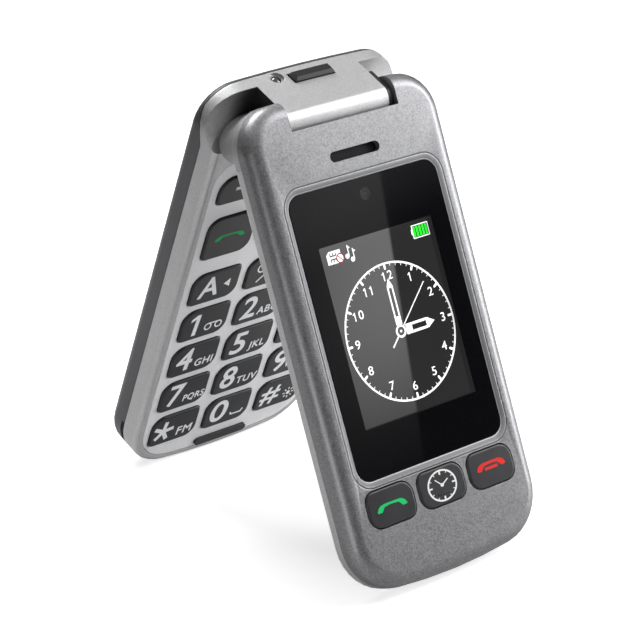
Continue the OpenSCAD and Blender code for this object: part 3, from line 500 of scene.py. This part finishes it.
# %% Lofted outlines
def outline(x, down, width, height, radii, inset=0.0, steps=10):
    """Points round a rounded rectangle; radii are top left, top right, bottom right, bottom left."""
    points = []
    u, v = width / 2 - inset, height / 2 - inset
    r = [max(value - inset, 0.1) for value in radii]
    corners = [(-u + r[3], -v + r[3], r[3], 180), (u - r[2], -v + r[2], r[2], 270),
               (u - r[1], v - r[1], r[1], 0), (-u + r[0], v - r[0], r[0], 90)]
    for cx, cy, radius, start in corners:
        for i in range(steps + 1):
            a = math.radians(start + 90 * i / steps)
            points.append((x + cx + radius * math.cos(a), cy - down + radius * math.sin(a)))
    return points


def put(name, board, points, faces, finish, body):
    """A mesh piece from flat millimetres on a half, riding on a body."""
    mesh = bpy.data.meshes.new(name)
    mesh.from_pydata([board @ Vector(p) for p in points], [], faces)
    mesh.materials.append(finish.material)
    obj = bpy.data.objects.new(name, mesh)
    bpy.context.scene.collection.objects.link(obj)
    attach(obj, body)
    return obj


def loft(rings, closed=False):
    """Points and faces through rings of (height, outline); closed joins the last to the first."""
    n = len(rings[0][1])
    points = [(px, py, height) for height, ring in rings for px, py in ring]
    last = len(rings) - 1
    pairs = [(k, k + 1) for k in range(last)] + ([(last, 0)] if closed else [])
    faces = [(a * n + i, a * n + (i + 1) % n, b * n + (i + 1) % n, b * n + i)
             for a, b in pairs for i in range(n)]
    if not closed:
        faces += [tuple(range(n - 1, -1, -1)), tuple(last * n + i for i in range(n))]
    return points, faces


def cap_rings(key, foot, top, edge, steps=5):
    """Rings up the side of a cap and round its soft top edge."""
    rings = [(foot, outline(*key)), (top - edge, outline(*key))]
    for i in range(1, steps + 1):
        a = math.radians(90 * i / steps)
        rings.append((top - edge + edge * math.sin(a),
                      outline(*key, inset=edge * (1 - math.cos(a)))))
    return rings


def cap(node, board, key, foot, top, edge):
    points, faces = loft(cap_rings(key, foot, top, edge))
    finish = key_plastic if board is LID else keypad_black
    piece = smooth(put("cap_" + node, board, points, faces, finish, node + "_body"))
    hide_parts(node)
    return piece


print("points round one outline:", len(outline(0, 0, 13.5, 8.9, (3.3, 1.4, 3.3, 1.4))))

# %% [markdown]
# ## The keypad
# The keypad has three columns. The soft keys and the call keys are at the top beside a ring
# that steers, with a select key in its middle, and five rows of small keys follow. The same
# few measures place them all: the pitch of the columns and of the rows.

# %% Keypad measures and caps
FOOT, TOP, EDGE = -3.5, -2.2, 0.42
COLUMN, ROW, FIRST_ROW = 15.8, 11.0, 48.3
SIDE = (3.3, 1.4, 3.3, 1.4)
KEYS = {
    "soft_key_left": (-COLUMN, 19.7, 13.5, 7.4, (4.0, 1.4, 1.4, 1.4)),
    "soft_key_right": (COLUMN, 19.7, 13.5, 7.4, (1.4, 4.0, 1.4, 1.4)),
    "call_key": (-COLUMN, 33.4, 13.5, 11.6, SIDE),
    "end_key": (COLUMN, 33.4, 13.5, 11.6, SIDE),
}
SMALL = ["memory_key", "contacts_key", "shortcut_key", "key_1", "key_2", "key_3", "key_4",
         "key_5", "key_6", "key_7", "key_8", "key_9", "key_star", "key_0", "key_hash"]
for number, name in enumerate(SMALL):
    KEYS[name] = ((number % 3 - 1) * COLUMN, FIRST_ROW + ROW * (number // 3), 13.5, 8.9, SIDE)
for name, key in KEYS.items():
    cap(name, BASE, key, FOOT, TOP, EDGE)

NAV = (0, 28.3, 15.4, 24.6, (6, 6, 6, 6))
OK = (0, 28.3, 7.4, 10.4, (2.6, 2.6, 2.6, 2.6))
NAV_HOLE = (0, 28.3, 7.94, 10.94, (2.9, 2.9, 2.9, 2.9))
hole_edge = [(TOP, outline(*NAV_HOLE, inset=-0.2)), (TOP - 0.2, outline(*NAV_HOLE)),
             (FOOT, outline(*NAV_HOLE))]
ring_points, ring_faces = loft(cap_rings(NAV, FOOT, TOP, EDGE) + hole_edge, closed=True)
ring = smooth(put("cap_nav_ring", BASE, ring_points, ring_faces, keypad_black, "nav_ring_body"))
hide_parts("nav_ring")
cap("ok_key", BASE, OK, FOOT, TOP, 0.3)
print("keypad caps:", len(KEYS) + 2)

# %% [markdown]
# ## The outer keys
# Three keys below the window answer, show the time and hang up with the lid closed. Their
# large corners are the other two, and they stand only a little above the lid.

# %% Outer key caps
OUTER_COLUMN, OUTER_ROW, OUTER_FOOT, OUTER_TOP = 14.65, 85.6, 3.95, 5.7
OUTER = {name: (i * OUTER_COLUMN, OUTER_ROW, 13.2, 8.3, (2.4, 3.3, 2.4, 3.3))
         for i, name in ((-1, "outer_call_key"), (0, "outer_clock_key"), (1, "outer_end_key"))}
for name, key in OUTER.items():
    cap(name, LID, key, OUTER_FOOT, OUTER_TOP, 0.5)
print("outer caps:", len(OUTER))

# %% [markdown]
# ## Printing
# Legends are ink on the key faces. A text object would work for the letters, but not for
# handsets and clock ticks, so every print is collected as flat shapes and laid a hundredth of a
# millimetre above the face as one thin mesh. The letters still come from Blender's own font.

# %% A sheet of flat shapes
class Print:
    """Flat shapes of one colour, in millimetres round the middle of a key or dial.

    Each shape lies a hair above the last, because faces in one plane would shade each other.
    """

    HAIR = 0.0002

    def __init__(self):
        self.points, self.faces, self.level = [], [], 0.0

    def shape(self, points, faces=None):
        start = len(self.points)
        self.level += self.HAIR
        self.points += [(px, py, self.level) for px, py in points]
        self.faces += [tuple(start + i for i in face) for face in (faces or [range(len(points))])]
        return self

    def line(self, *points, width=0.3, closed=False):
        """A line of even width, its corners rounded by small discs."""
        spans = list(zip(points, points[1:])) + ([(points[-1], points[0])] if closed else [])
        for (x0, y0), (x1, y1) in spans:
            length = math.hypot(x1 - x0, y1 - y0)
            dx, dy = -(y1 - y0) / length * width / 2, (x1 - x0) / length * width / 2
            self.shape([(x0 - dx, y0 - dy), (x1 - dx, y1 - dy),
                        (x1 + dx, y1 + dy), (x0 + dx, y0 + dy)])
        for x, y in points[1:-1] if not closed else points:
            self.disc(x, y, width / 2, 10)
        return self

    def disc(self, x, y, radius, steps=24):
        turn = [2 * math.pi * i / steps for i in range(steps)]
        return self.shape([(x + radius * math.cos(a), y + radius * math.sin(a)) for a in turn])

    def ring(self, x, y, inner, outer, steps=72):
        turn = [2 * math.pi * i / steps for i in range(steps)]
        points = [(x + r * math.cos(a), y + r * math.sin(a)) for r in (inner, outer) for a in turn]
        faces = [(i, steps + i, steps + (i + 1) % steps, (i + 1) % steps) for i in range(steps)]
        return self.shape(points, faces)

    def words(self, text, x, y, size, slant=0.0, bold=0.0, wide=1.0, gap=1.0):
        """Letters, made bolder by printing them again a little to every side."""
        curve = bpy.data.curves.new("words", "FONT")
        curve.body, curve.size, curve.shear, curve.space_character = text, size, slant, gap
        curve.align_x, curve.align_y = "CENTER", "CENTER"
        holder = bpy.data.objects.new("words", curve)
        bpy.context.scene.collection.objects.link(holder)
        bpy.context.view_layer.update()
        drawn = holder.evaluated_get(bpy.context.evaluated_depsgraph_get())
        flat = bpy.data.meshes.new_from_object(drawn)
        faces = [tuple(f.vertices) for f in flat.polygons]
        for k in range(8 if bold else 1):
            dx, dy = bold * math.cos(math.pi * k / 4), bold * math.sin(math.pi * k / 4)
            self.shape([(x + dx + v.co.x * wide, y + dy + v.co.y) for v in flat.vertices], faces)
        bpy.data.objects.remove(holder)
        bpy.data.curves.remove(curve)
        bpy.data.meshes.remove(flat)
        return self

    def digits(self, text, x, y, size, bold, wide):
        """Upright figures; the one is drawn with its flag, which the font leaves out."""
        step = size * 0.58 * wide
        for k, figure in enumerate(text):
            middle = x + (k - (len(text) - 1) / 2) * step
            if figure != "1":
                self.words(figure, middle, y, size, 0.0, bold, wide)
                continue
            tall, thick = size * 0.35 + bold, size * 0.045 + bold
            self.shape([(middle - thick, y - tall), (middle + thick, y - tall),
                        (middle + thick, y + tall), (middle - thick, y + tall)])
            flag = (middle - size * 0.18, y + tall * 0.5)
            self.line((middle, y + tall - thick), flag, width=thick * 1.7)
        return self

    def lay(self, name, board, x, down, height, ink, body):
        points = [(x + px, py - down, height + level) for px, py, level in self.points]
        return put(name, board, points, self.faces, ink, body)


def handset(sheet, tall=1.0, thick=1.0, lift=0.0):
    """A resting telephone handset: a bowed grip between two drooping ends."""
    upper = [(-4.25, -0.6), (-3.75, 0.2), (-3.05, 0.63), (-2.2, 0.78), (-1.0, 0.8), (0, 0.8)]
    lower = [(-3.95, -0.85), (-2.95, -0.86), (-2.4, -0.25), (-1.95, 0.16), (-0.8, 0.27), (0, 0.29)]
    more = (thick - 1) * 0.35
    above = [(px, lift + py * tall + more) for px, py in upper]
    below = [(px, lift + py * tall - more) for px, py in lower]
    for (a, b), (c, d) in zip(zip(above, above[1:]), zip(below, below[1:])):
        sheet.shape([a, c, d, b])
        sheet.shape([(-px, py) for px, py in (b, d, c, a)])
    return sheet


print("faces in one ring:", len(Print().ring(0, 0, 1, 2).faces))

# %% [markdown]
# ## Inks
# The keypad's legends are pale grey ink, the call keys green and red. The lid's clock icon is
# white. Ink is slightly rougher than the cap under it. The display's shapes are lit from
# behind, so they carry their own light as well.

# %% Ink and light
def ink(name, colour, glow=0.0):
    paint = Finish(name, colour, 0.5, Specular_IOR_Level=0.2)
    patchy = paint.grain(0.8, 2)
    paint.set(Base_Color=paint.blend(patchy, tuple(v * 0.92 for v in colour), colour))
    if glow:
        paint.set(Emission_Color=(*colour, 1), Emission_Strength=glow)
    return paint


pale_ink = ink("pale_ink", tint(238, 238, 240))
green_ink = ink("green_ink", tint(6, 176, 92))
bright_green_ink = ink("bright_green_ink", tint(8, 214, 116))
red_ink = ink("red_ink", tint(238, 40, 34))
white_ink = ink("white_ink", tint(250, 250, 250))
print("inks:", [m.name for m in bpy.data.materials if m.name.endswith("_ink")])

# %% [markdown]
# ## Legends on the keypad
# Number keys carry a large slanted figure and small letters, and the call keys a handset. The
# font can draw most of these. The slanted one, the voicemail loops, the star, the lamp and the
# handsets are not in it or look wrong there, so they are put together from lines, rings and discs.

# %% Keypad legends
INK_LIFT = 0.012
LEGEND_Z = TOP + INK_LIFT
LETTERS = {"key_2": "ABC", "key_3": "DEF", "key_4": "GHI", "key_5": "JKL", "key_6": "MNO",
           "key_7": "PQRS", "key_8": "TUV", "key_9": "WXYZ"}


def legend(name, sheet, colour=pale_ink):
    x, down = KEYS[name][:2]
    sheet.lay("legend_" + name, BASE, x, down, LEGEND_Z, colour, name + "_body")


for name, letters in LETTERS.items():
    sheet = Print().words(name[-1], -3.1, 0.0, 9.0, 0.10, 0.17, 1.1 if name == "key_5" else 1.02)
    small, narrow = (3.0, 1.0) if len(letters) == 3 else (2.7, 0.92)
    legend(name, sheet.words(letters, 2.9, -1.7, small, 0.10, 0.07, narrow, 1.1))

one = Print().shape([(-3.3, -3.1), (-2.15, -3.1), (-1.65, 3.1), (-2.75, 3.1)])
one.shape([(-2.75, 3.1), (-2.85, 1.9), (-4.3, 1.25), (-4.2, 2.15)])
one.ring(1.2, -1.5, 0.7, 1.1, 32).ring(4.2, -1.5, 0.7, 1.1, 32)
one.line((1.2, -0.6), (4.2, -0.6), width=0.4)
legend("key_1", one)
zero = Print().words("0", -3.0, 0.0, 9.0, 0.10, 0.17, 1.2)
legend("key_0", zero.line((1.2, -1.4), (1.5, -2.1), (4.4, -2.1), (4.9, -1.2), width=0.45))
star = Print().words("FM", 3.0, -1.7, 3.5, 0.10, 0.08, 1.05, 1.1)
for k in range(5):
    a = math.radians(80 + 72 * k)
    star.line((-3.3, -0.2), (-3.3 + 3.0 * math.cos(a), -0.2 + 3.0 * math.sin(a)), width=1.1)
legend("key_star", star)
hash_sheet = Print().words("#", -2.9, 0.0, 7.6, 0.10, 0.14, 1.25)
hash_sheet.disc(3.3, -1.3, 0.6)
for k in range(8):
    a = math.radians(45 * k)
    hash_sheet.line(*[(3.3 + r * math.cos(a), -1.3 + r * math.sin(a)) for r in (1, 1.7)],
                    width=0.36)
legend("key_hash", hash_sheet)

memory = Print().words("A", -1.9, 0.0, 8.0, 0.10, 0.16)
legend("memory_key", memory.shape([(2.3, 0.1), (4.1, -1.1), (4.1, 1.3)]))
shortcut = Print().words("B", -1.9, 0.0, 8.0, 0.10, 0.16)
legend("shortcut_key", shortcut.shape([(4.1, 0.1), (2.3, 1.3), (2.3, -1.1)]))
people = Print().ring(-2.6, 1.3, 0.95, 1.35, 32).line((-3.4, -2.7), (3.2, 2.9), width=0.42)
legend("contacts_key", people.ring(2.8, -1.4, 0.95, 1.35, 32))
for name in ("soft_key_left", "soft_key_right"):
    legend(name, Print().line((-2.2, 0.2), (2.2, 0.2), width=0.85))
legend("call_key", handset(Print(), 0.9), green_ink)
legend("end_key", handset(Print(), 0.9), red_ink)

arrows = Print()
for x, y, turn in ((0, 9.4, 0), (0, -9.4, 180), (-5.7, 0, 90), (5.7, 0, 270)):
    a = math.radians(turn)
    corners = [(-0.9, -0.5), (0.9, -0.5), (0, 0.75)]
    arrows.shape([(x + px * math.cos(a) - py * math.sin(a), y + px * math.sin(a) + py * math.cos(a))
                  for px, py in corners])
arrows.lay("legend_nav_ring", BASE, NAV[0], NAV[1], LEGEND_Z, pale_ink, "nav_ring_body")
select = Print().words("OK", 0, 0, 3.4, 0.0, 0.06)
select.lay("legend_ok_key", BASE, OK[0], OK[1], LEGEND_Z, pale_ink, "ok_key_body")
print("keypad legends:", len(KEYS) + 2)

# %% [markdown]
# ## Icons on the outer keys
# The outer keys show a green handset, a small clock and a red handset over a bar. The same
# `handset` draws both, and the clock is a ring with twelve ticks and two hands. A thin raised
# bar under the clock helps a finger find the middle key, so it is lofted and not printed.

# %% Outer key icons
def outer_icon(name, sheet, colour):
    x, down = OUTER[name][:2]
    sheet.lay("icon_" + name, LID, x, down, OUTER_TOP + INK_LIFT, colour, name + "_body")


outer_icon("outer_call_key", handset(Print()), bright_green_ink)
hang_up = handset(Print(), 1.0, 1.15, 0.5)
outer_icon("outer_end_key", hang_up.line((-1.9, -0.15), (1.9, -0.15), width=0.65), red_ink)
clock = Print().ring(0, 0, 3.2, 3.6)
for k in range(12):
    a = math.radians(30 * k)
    inner = 2.45 if k % 3 == 0 else 2.8
    clock.line((inner * math.cos(a), inner * math.sin(a)), (3.25 * math.cos(a), 3.25 * math.sin(a)),
               width=0.38 if k % 3 == 0 else 0.2)
clock.disc(0, 0.1, 0.42).line((0, 0.1), (-1.5, 1.7), width=0.24).line((0, 0.1), (1.6, 1.15), width=0.3)
clock.points = [(px * 1.17, py * 0.97, level) for px, py, level in clock.points]
outer_icon("outer_clock_key", clock, white_ink)
bar = cap_rings((0, 87.3, 3.5, 0.45, (0.2,) * 4), OUTER_TOP - 0.05, OUTER_TOP + 0.18, 0.15)
smooth(put("touch_bar", LID, *loft(bar), torch_black, "outer_clock_key_body"))
print("outer icons:", len(OUTER))

# %% [markdown]
# ## The lit display
# Under the window the display shows a dial clock, a card symbol, two notes and a full battery
# on dark grey. The picture is drawn with the same flat shapes and lies on the display module,
# under the glass, so it shifts a little behind the window's edge as on the real phone.
# A real panel is not metal, and a dark gloss plastic would be the honest finish. Here the field
# is polished metal with a dim glow, only because that carries the reflected edge of the studio
# wall over the picture. From other sides it looks paler than a real display would.

# %% The display's picture
lit_grey = Finish("lit_grey", tint(205, 205, 205), 0.0, Metallic=1.0)
back_light = lit_grey.grain(30, 1)
lit_grey.set(Emission_Color=lit_grey.blend(back_light, tint(37, 37, 37), tint(43, 43, 43)),
             Emission_Strength=1.0)
lit_white = ink("lit_white", tint(245, 245, 245), 0.75)
lit_green = ink("lit_green", tint(20, 220, 30), 0.7)
lit_red = ink("lit_red", tint(150, 26, 34), 0.6)
DISPLAY_Z = 4.3
PICTURE_Z = DISPLAY_Z + 0.02
OVERLAP = 1.2
field = Print().shape(outline(0, 0, LIT["width"] + OVERLAP, LIT["height"] + OVERLAP, (0.5,) * 4))
field.lay("display_field", LID, LIT["x"], LIT["down"], DISPLAY_Z + 0.008, lit_grey, "lid")

DIAL = {"x": 0.75, "down": 50.9, "radius": 14.9}
dial = Print().ring(0, 0, DIAL["radius"] - 0.42, DIAL["radius"], 120)
for k in range(60):
    a = math.radians(6 * k)
    inner, tick = (13.6, 0.52) if k % 5 == 0 else (14.0, 0.14)
    dial.line(*[(r * math.cos(a), r * math.sin(a)) for r in (inner, 14.6)], width=tick)
    if k % 5 == 0:
        dial.disc(inner * math.cos(a), inner * math.sin(a), tick / 2, 12)
for hour in range(1, 13):
    a, reach = math.radians(90 - 30 * hour), 11.6 if hour in (10, 11) else 12.0
    dial.digits(str(hour), reach * math.cos(a), reach * math.sin(a), 2.65, 0.015, 1.08)


def hand(sheet, turn, side, base, hollow, shoulder, tip):
    """A hollow hand with a pointed tip, drawn upright and then turned clockwise."""
    a = math.radians(-turn)
    wall = side * 0.52
    for shape in (
        [(-side, base), (side, base), (side, hollow), (-side, hollow)],
        [(-side, hollow), (-wall, hollow), (-wall, shoulder), (-side, shoulder)],
        [(wall, hollow), (side, hollow), (side, shoulder), (wall, shoulder)],
        [(-side, shoulder), (side, shoulder), (side * 0.95, shoulder + 0.5), (0, tip),
         (-side * 0.95, shoulder + 0.5)],
    ):
        sheet.shape([(px * math.cos(a) - py * math.sin(a), px * math.sin(a) + py * math.cos(a))
                     for px, py in shape])


hand(dial, 0, 0.8, 1.4, 3.2, 9.4, 11.4)
hand(dial, 90, 1.12, 1.5, 3.2, 7.2, 9.5)
dial.ring(0, 0, 0.95, 1.4, 40).disc(0, 0, 0.28)
a = math.radians(90 - 47)
for reach, width in (((1.3, 12.6), 0.22), ((-1.3, -4.2), 0.32)):
    dial.line(*[(r * math.cos(a), r * math.sin(a)) for r in reach], width=width)
dial.points = [(px * 1.03, py * 1.03, level) for px, py, level in dial.points]
dial.lay("display_dial", LID, DIAL["x"], DIAL["down"], PICTURE_Z, lit_white, "lid")
print("dial faces:", len(dial.faces))

# %% [markdown]
# The small symbols along the top are a card with its contacts and a no-entry sign, two notes
# for the ringer, and a battery with five bars. The contacts are dark, so they are laid on the
# card as strokes of the field's own grey, and each later layer lies a hair above the last.

# %% Status symbols
SYMBOLS = {"x": -11.9, "down": 31.3}
card = Print().shape([(-1.95, -1.4), (1.95, -1.4), (1.95, 1.4), (-1.15, 1.4), (-1.95, 0.7)])
for nx, drop in ((4.1, 0.0), (5.35, -0.95)):
    card.disc(nx - 0.5, drop - 0.6, 0.55, 20).line((nx, drop - 0.55), (nx, drop + 1.75), width=0.24)
    card.shape([(nx - 0.12, drop + 1.75), (nx + 0.7, drop + 1.1), (nx + 0.1, drop + 0.9)])
card.lay("display_card", LID, SYMBOLS["x"], SYMBOLS["down"], PICTURE_Z, lit_white, "lid")
contacts = Print()
for y, way in ((0.35, 1), (-0.4, -1)):
    contacts.line((-1.1, y), (0.7, y), width=0.28)
    for cx in (-0.95, -0.2, 0.55):
        contacts.line((cx, y), (cx, y + way * 0.65), width=0.24)
contacts.lay("display_contacts", LID, SYMBOLS["x"], SYMBOLS["down"], DISPLAY_Z + 0.03, lit_grey,
             "lid")
sign = Print().disc(1.6, -0.5, 1.0)
sign.lay("display_sign", LID, SYMBOLS["x"], SYMBOLS["down"], DISPLAY_Z + 0.036, lit_white, "lid")
no_card = Print().ring(1.6, -0.5, 0.84, 1.08, 36).line((1.0, 0.15), (2.2, -1.15), width=0.2)
no_card.lay("display_no_card", LID, SYMBOLS["x"], SYMBOLS["down"], DISPLAY_Z + 0.045, lit_red, "lid")
CHARGE = {"x": 13.05, "down": 31.15}
case_line = Print().line((-2.3, -1.4), (2.3, -1.4), (2.3, 1.4), (-2.3, 1.4), width=0.22, closed=True)
case_line.shape([(-2.65, -0.6), (-2.35, -0.6), (-2.35, 0.6), (-2.65, 0.6)])
case_line.lay("display_battery", LID, CHARGE["x"], CHARGE["down"], PICTURE_Z, lit_white, "lid")
charge = Print()
for k in range(5):
    left = -2.1 + k * 0.86
    charge.shape([(left, -1.15), (left + 0.62, -1.15), (left + 0.62, 1.15), (left, 1.15)])
charge.lay("display_charge", LID, CHARGE["x"], CHARGE["down"], PICTURE_Z, lit_green, "lid")
print("display pieces: field, dial, card, notes, battery")

# %% [markdown]
# ## The camera's eye
# Behind the black window sits the camera. It shows as a grey ring round a small domed lens.
# The dome is turned from a profile rather than squashed from a sphere, has a glossy coat, and
# lies on the camera's barrel.

# %% Camera lens
def turned(name, board, x, down, profile, finish, body, steps=40):
    """A turned piece: rings of (radius, height) round an upright axis."""
    turn = [2 * math.pi * i / steps for i in range(steps)]
    rings = [(height, [(x + radius * math.cos(a), -down + radius * math.sin(a)) for a in turn])
             for radius, height in profile]
    return smooth(put(name, board, *loft(rings), finish, body))


lens_coat = moulded("lens_coat", tint(28, 26, 44), 0.08, 2.0, 0.001, 0.0, Coat_Weight=1.0)
lens_ring = moulded("lens_ring", tint(150, 150, 154), 0.5, 0.3, 0.002, 0.0, Metallic=0.3)
ring_profile = [(1.35, 4.302), (1.35, 4.325), (1.0, 4.325), (0.9, 4.304)]
eye_profile = [(0.8, 4.302), (0.74, 4.315), (0.5, 4.328), (0.2, 4.335)]
turned("camera_ring", LID, 0, CAMERA_DOWN, ring_profile, lens_ring, "lid")
turned("camera_eye", LID, 0, CAMERA_DOWN, eye_profile, lens_coat, "lid")
print("camera eye at", CAMERA_DOWN, "mm below the hinge")

# %% [markdown]
# ## Floor
# The phone was photographed on white with two soft shadows. A curved backdrop would do too, but
# a plain pale sheet is enough. It glows for the camera only, so that it looks white and still
# keeps the shadows.

# %% Floor
sheet_white = Finish("floor_white", (0.86, 0.86, 0.86), 0.9, Specular_IOR_Level=0.1)
rays = sheet_white.add("ShaderNodeLightPath", out="Is Camera Ray")
paper, glow = (0.85, 0.85, 0.85), (0.66, 0.66, 0.66)
sheet_white.set(Base_Color=sheet_white.blend(sheet_white.grain(60, 2), paper, (0.88, 0.88, 0.88)),
                Emission_Color=sheet_white.blend(rays, (0.0, 0.0, 0.0), glow),
                Emission_Strength=1.0)
floor_mesh = bpy.data.meshes.new("floor")
SPAN = 3.0
floor_mesh.from_pydata([(-SPAN, -SPAN, 0), (SPAN, -SPAN, 0), (SPAN, SPAN, 0), (-SPAN, SPAN, 0)], [],
                       [(0, 1, 2, 3)])
floor_mesh.materials.append(sheet_white.material)
floor = bpy.data.objects.new("floor", floor_mesh)
bpy.context.scene.collection.objects.link(floor)
print("floor is", 2 * SPAN, "m across")

# %% [markdown]
# ## The studio
# Where the camera looks past the phone the room is white. Showing the same white in reflections
# would be the plain choice and suit every view, but it washed out the paint and the window. So
# reflections see a dim room with a bright ceiling, a low band and one wall with a sharp edge.
# The edge was aimed so that it crosses the window where the photograph has it, which makes this
# light a fitted one. It belongs to the room, and no material knows where the camera is.

# %% The room's light
world = bpy.data.worlds.new("studio")
bpy.context.scene.world = world
world.use_nodes = True
room = Wiring(world.node_tree)
toward = room.add("ShaderNodeTexCoord", out="Generated")


def facing(x, y, z):
    """How squarely a direction in the room points along x, y, z: 1 straight, 0 across."""
    straight = Vector((x, y, z)).normalized()
    return room.add("ShaderNodeVectorMath", {"operation": "DOT_PRODUCT"},
                    {0: toward, 1: straight}, out="Value")


WALL, CEILING, BAND, DIM, PLAIN = 0.22, 0.9, 0.12, 0.015, 0.05
WALL_EDGE = (-0.7734, -0.5330, 0.3432)
edge = facing(*WALL_EDGE)
height = facing(0, 0, 1)
wall = edge.rise(-0.0007, 0.0007) * (1 - edge.rise(0.0, 0.08)) * height.rise(0.17, 0.25) * WALL
ceiling = height.rise(0.35, 1.0) * CEILING
band = height.rise(0.262, 0.29) * (1 - height.rise(0.3, 0.4)) * BAND
seen = room.add("ShaderNodeLightPath", out="Is Camera Ray")
mirrored = room.add("ShaderNodeLightPath", out="Is Glossy Ray")
through = room.add("ShaderNodeLightPath", out="Is Transmission Ray")
shiny = mirrored.at_least(through)
plain = PLAIN * (1 - shiny.at_least(seen))
sky = room.tree.nodes["Background"]
room.feed(sky.inputs["Strength"], (wall + ceiling + band + DIM) * shiny + plain + seen)
sky.inputs["Color"].default_value = (1, 1, 1, 1)


def lamp(name, place, target, width, height, watts):
    data = bpy.data.lights.new(name, "AREA")
    data.shape, data.size, data.size_y, data.energy = "RECTANGLE", width, height, watts
    obj = bpy.data.objects.new(name, data)
    obj.location = place
    obj.rotation_euler = (Vector(target) - Vector(place)).to_track_quat("-Z", "Y").to_euler()
    obj.visible_camera = False
    bpy.context.scene.collection.objects.link(obj)


lamp("key_box", (0.130, -0.110, 0.240), (0, -0.01, 0.085), 0.14, 0.12, 0.28)
lamp("right_box", (0.45, -0.25, 0.18), (0, 0, 0.05), 0.12, 0.40, 2.2)
lamp("back_box", (0.0, 0.25, 0.35), (0, 0, 0.09), 0.20, 0.20, 1.5)
lamp("left_low_box", (-0.30, -0.20, 0.06), (0, 0.02, 0.04), 0.15, 0.10, 0.20)
print("lamps:", len(bpy.data.lights))

# %% [markdown]
# ## The camera
# The photograph's viewpoint was recovered from points whose places on the phone are known: the
# window's corners, the keys' corners and the dial. It looks down a little from the front left
# through a long lens.

# %% Camera
FRAME_PIXELS = 640
VIEW = {"yaw": -40.513, "rise": 23.328, "roll": 0.636, "pixels": 2645.6,
        "distance": 0.57267, "right": 0.001618, "up": 0.046121}
yaw, rise, roll = (math.radians(VIEW[k]) for k in ("yaw", "rise", "roll"))
back = Vector((math.sin(yaw) * math.cos(rise), -math.cos(yaw) * math.cos(rise), math.sin(rise)))
level = Vector((math.cos(yaw), math.sin(yaw), 0))
upright = back.cross(level)
side = level * math.cos(roll) + upright * math.sin(roll)
head = upright * math.cos(roll) - level * math.sin(roll)
spot = HINGE + back * VIEW["distance"] - side * VIEW["right"] - head * VIEW["up"]
eye = bpy.data.cameras.new("camera")
eye.sensor_width = 36
eye.lens = VIEW["pixels"] / FRAME_PIXELS * eye.sensor_width
eye.clip_start = 0.01
camera = bpy.data.objects.new("camera", eye)
camera.matrix_world = Matrix.Translation(spot) @ Matrix((side, head, back)).transposed().to_4x4()
bpy.context.scene.collection.objects.link(camera)
bpy.context.scene.camera = camera
bpy.context.scene.view_settings.view_transform = "Standard"
print("camera at", [round(v, 3) for v in spot], "lens", round(eye.lens, 1), "mm")

# %% [markdown]
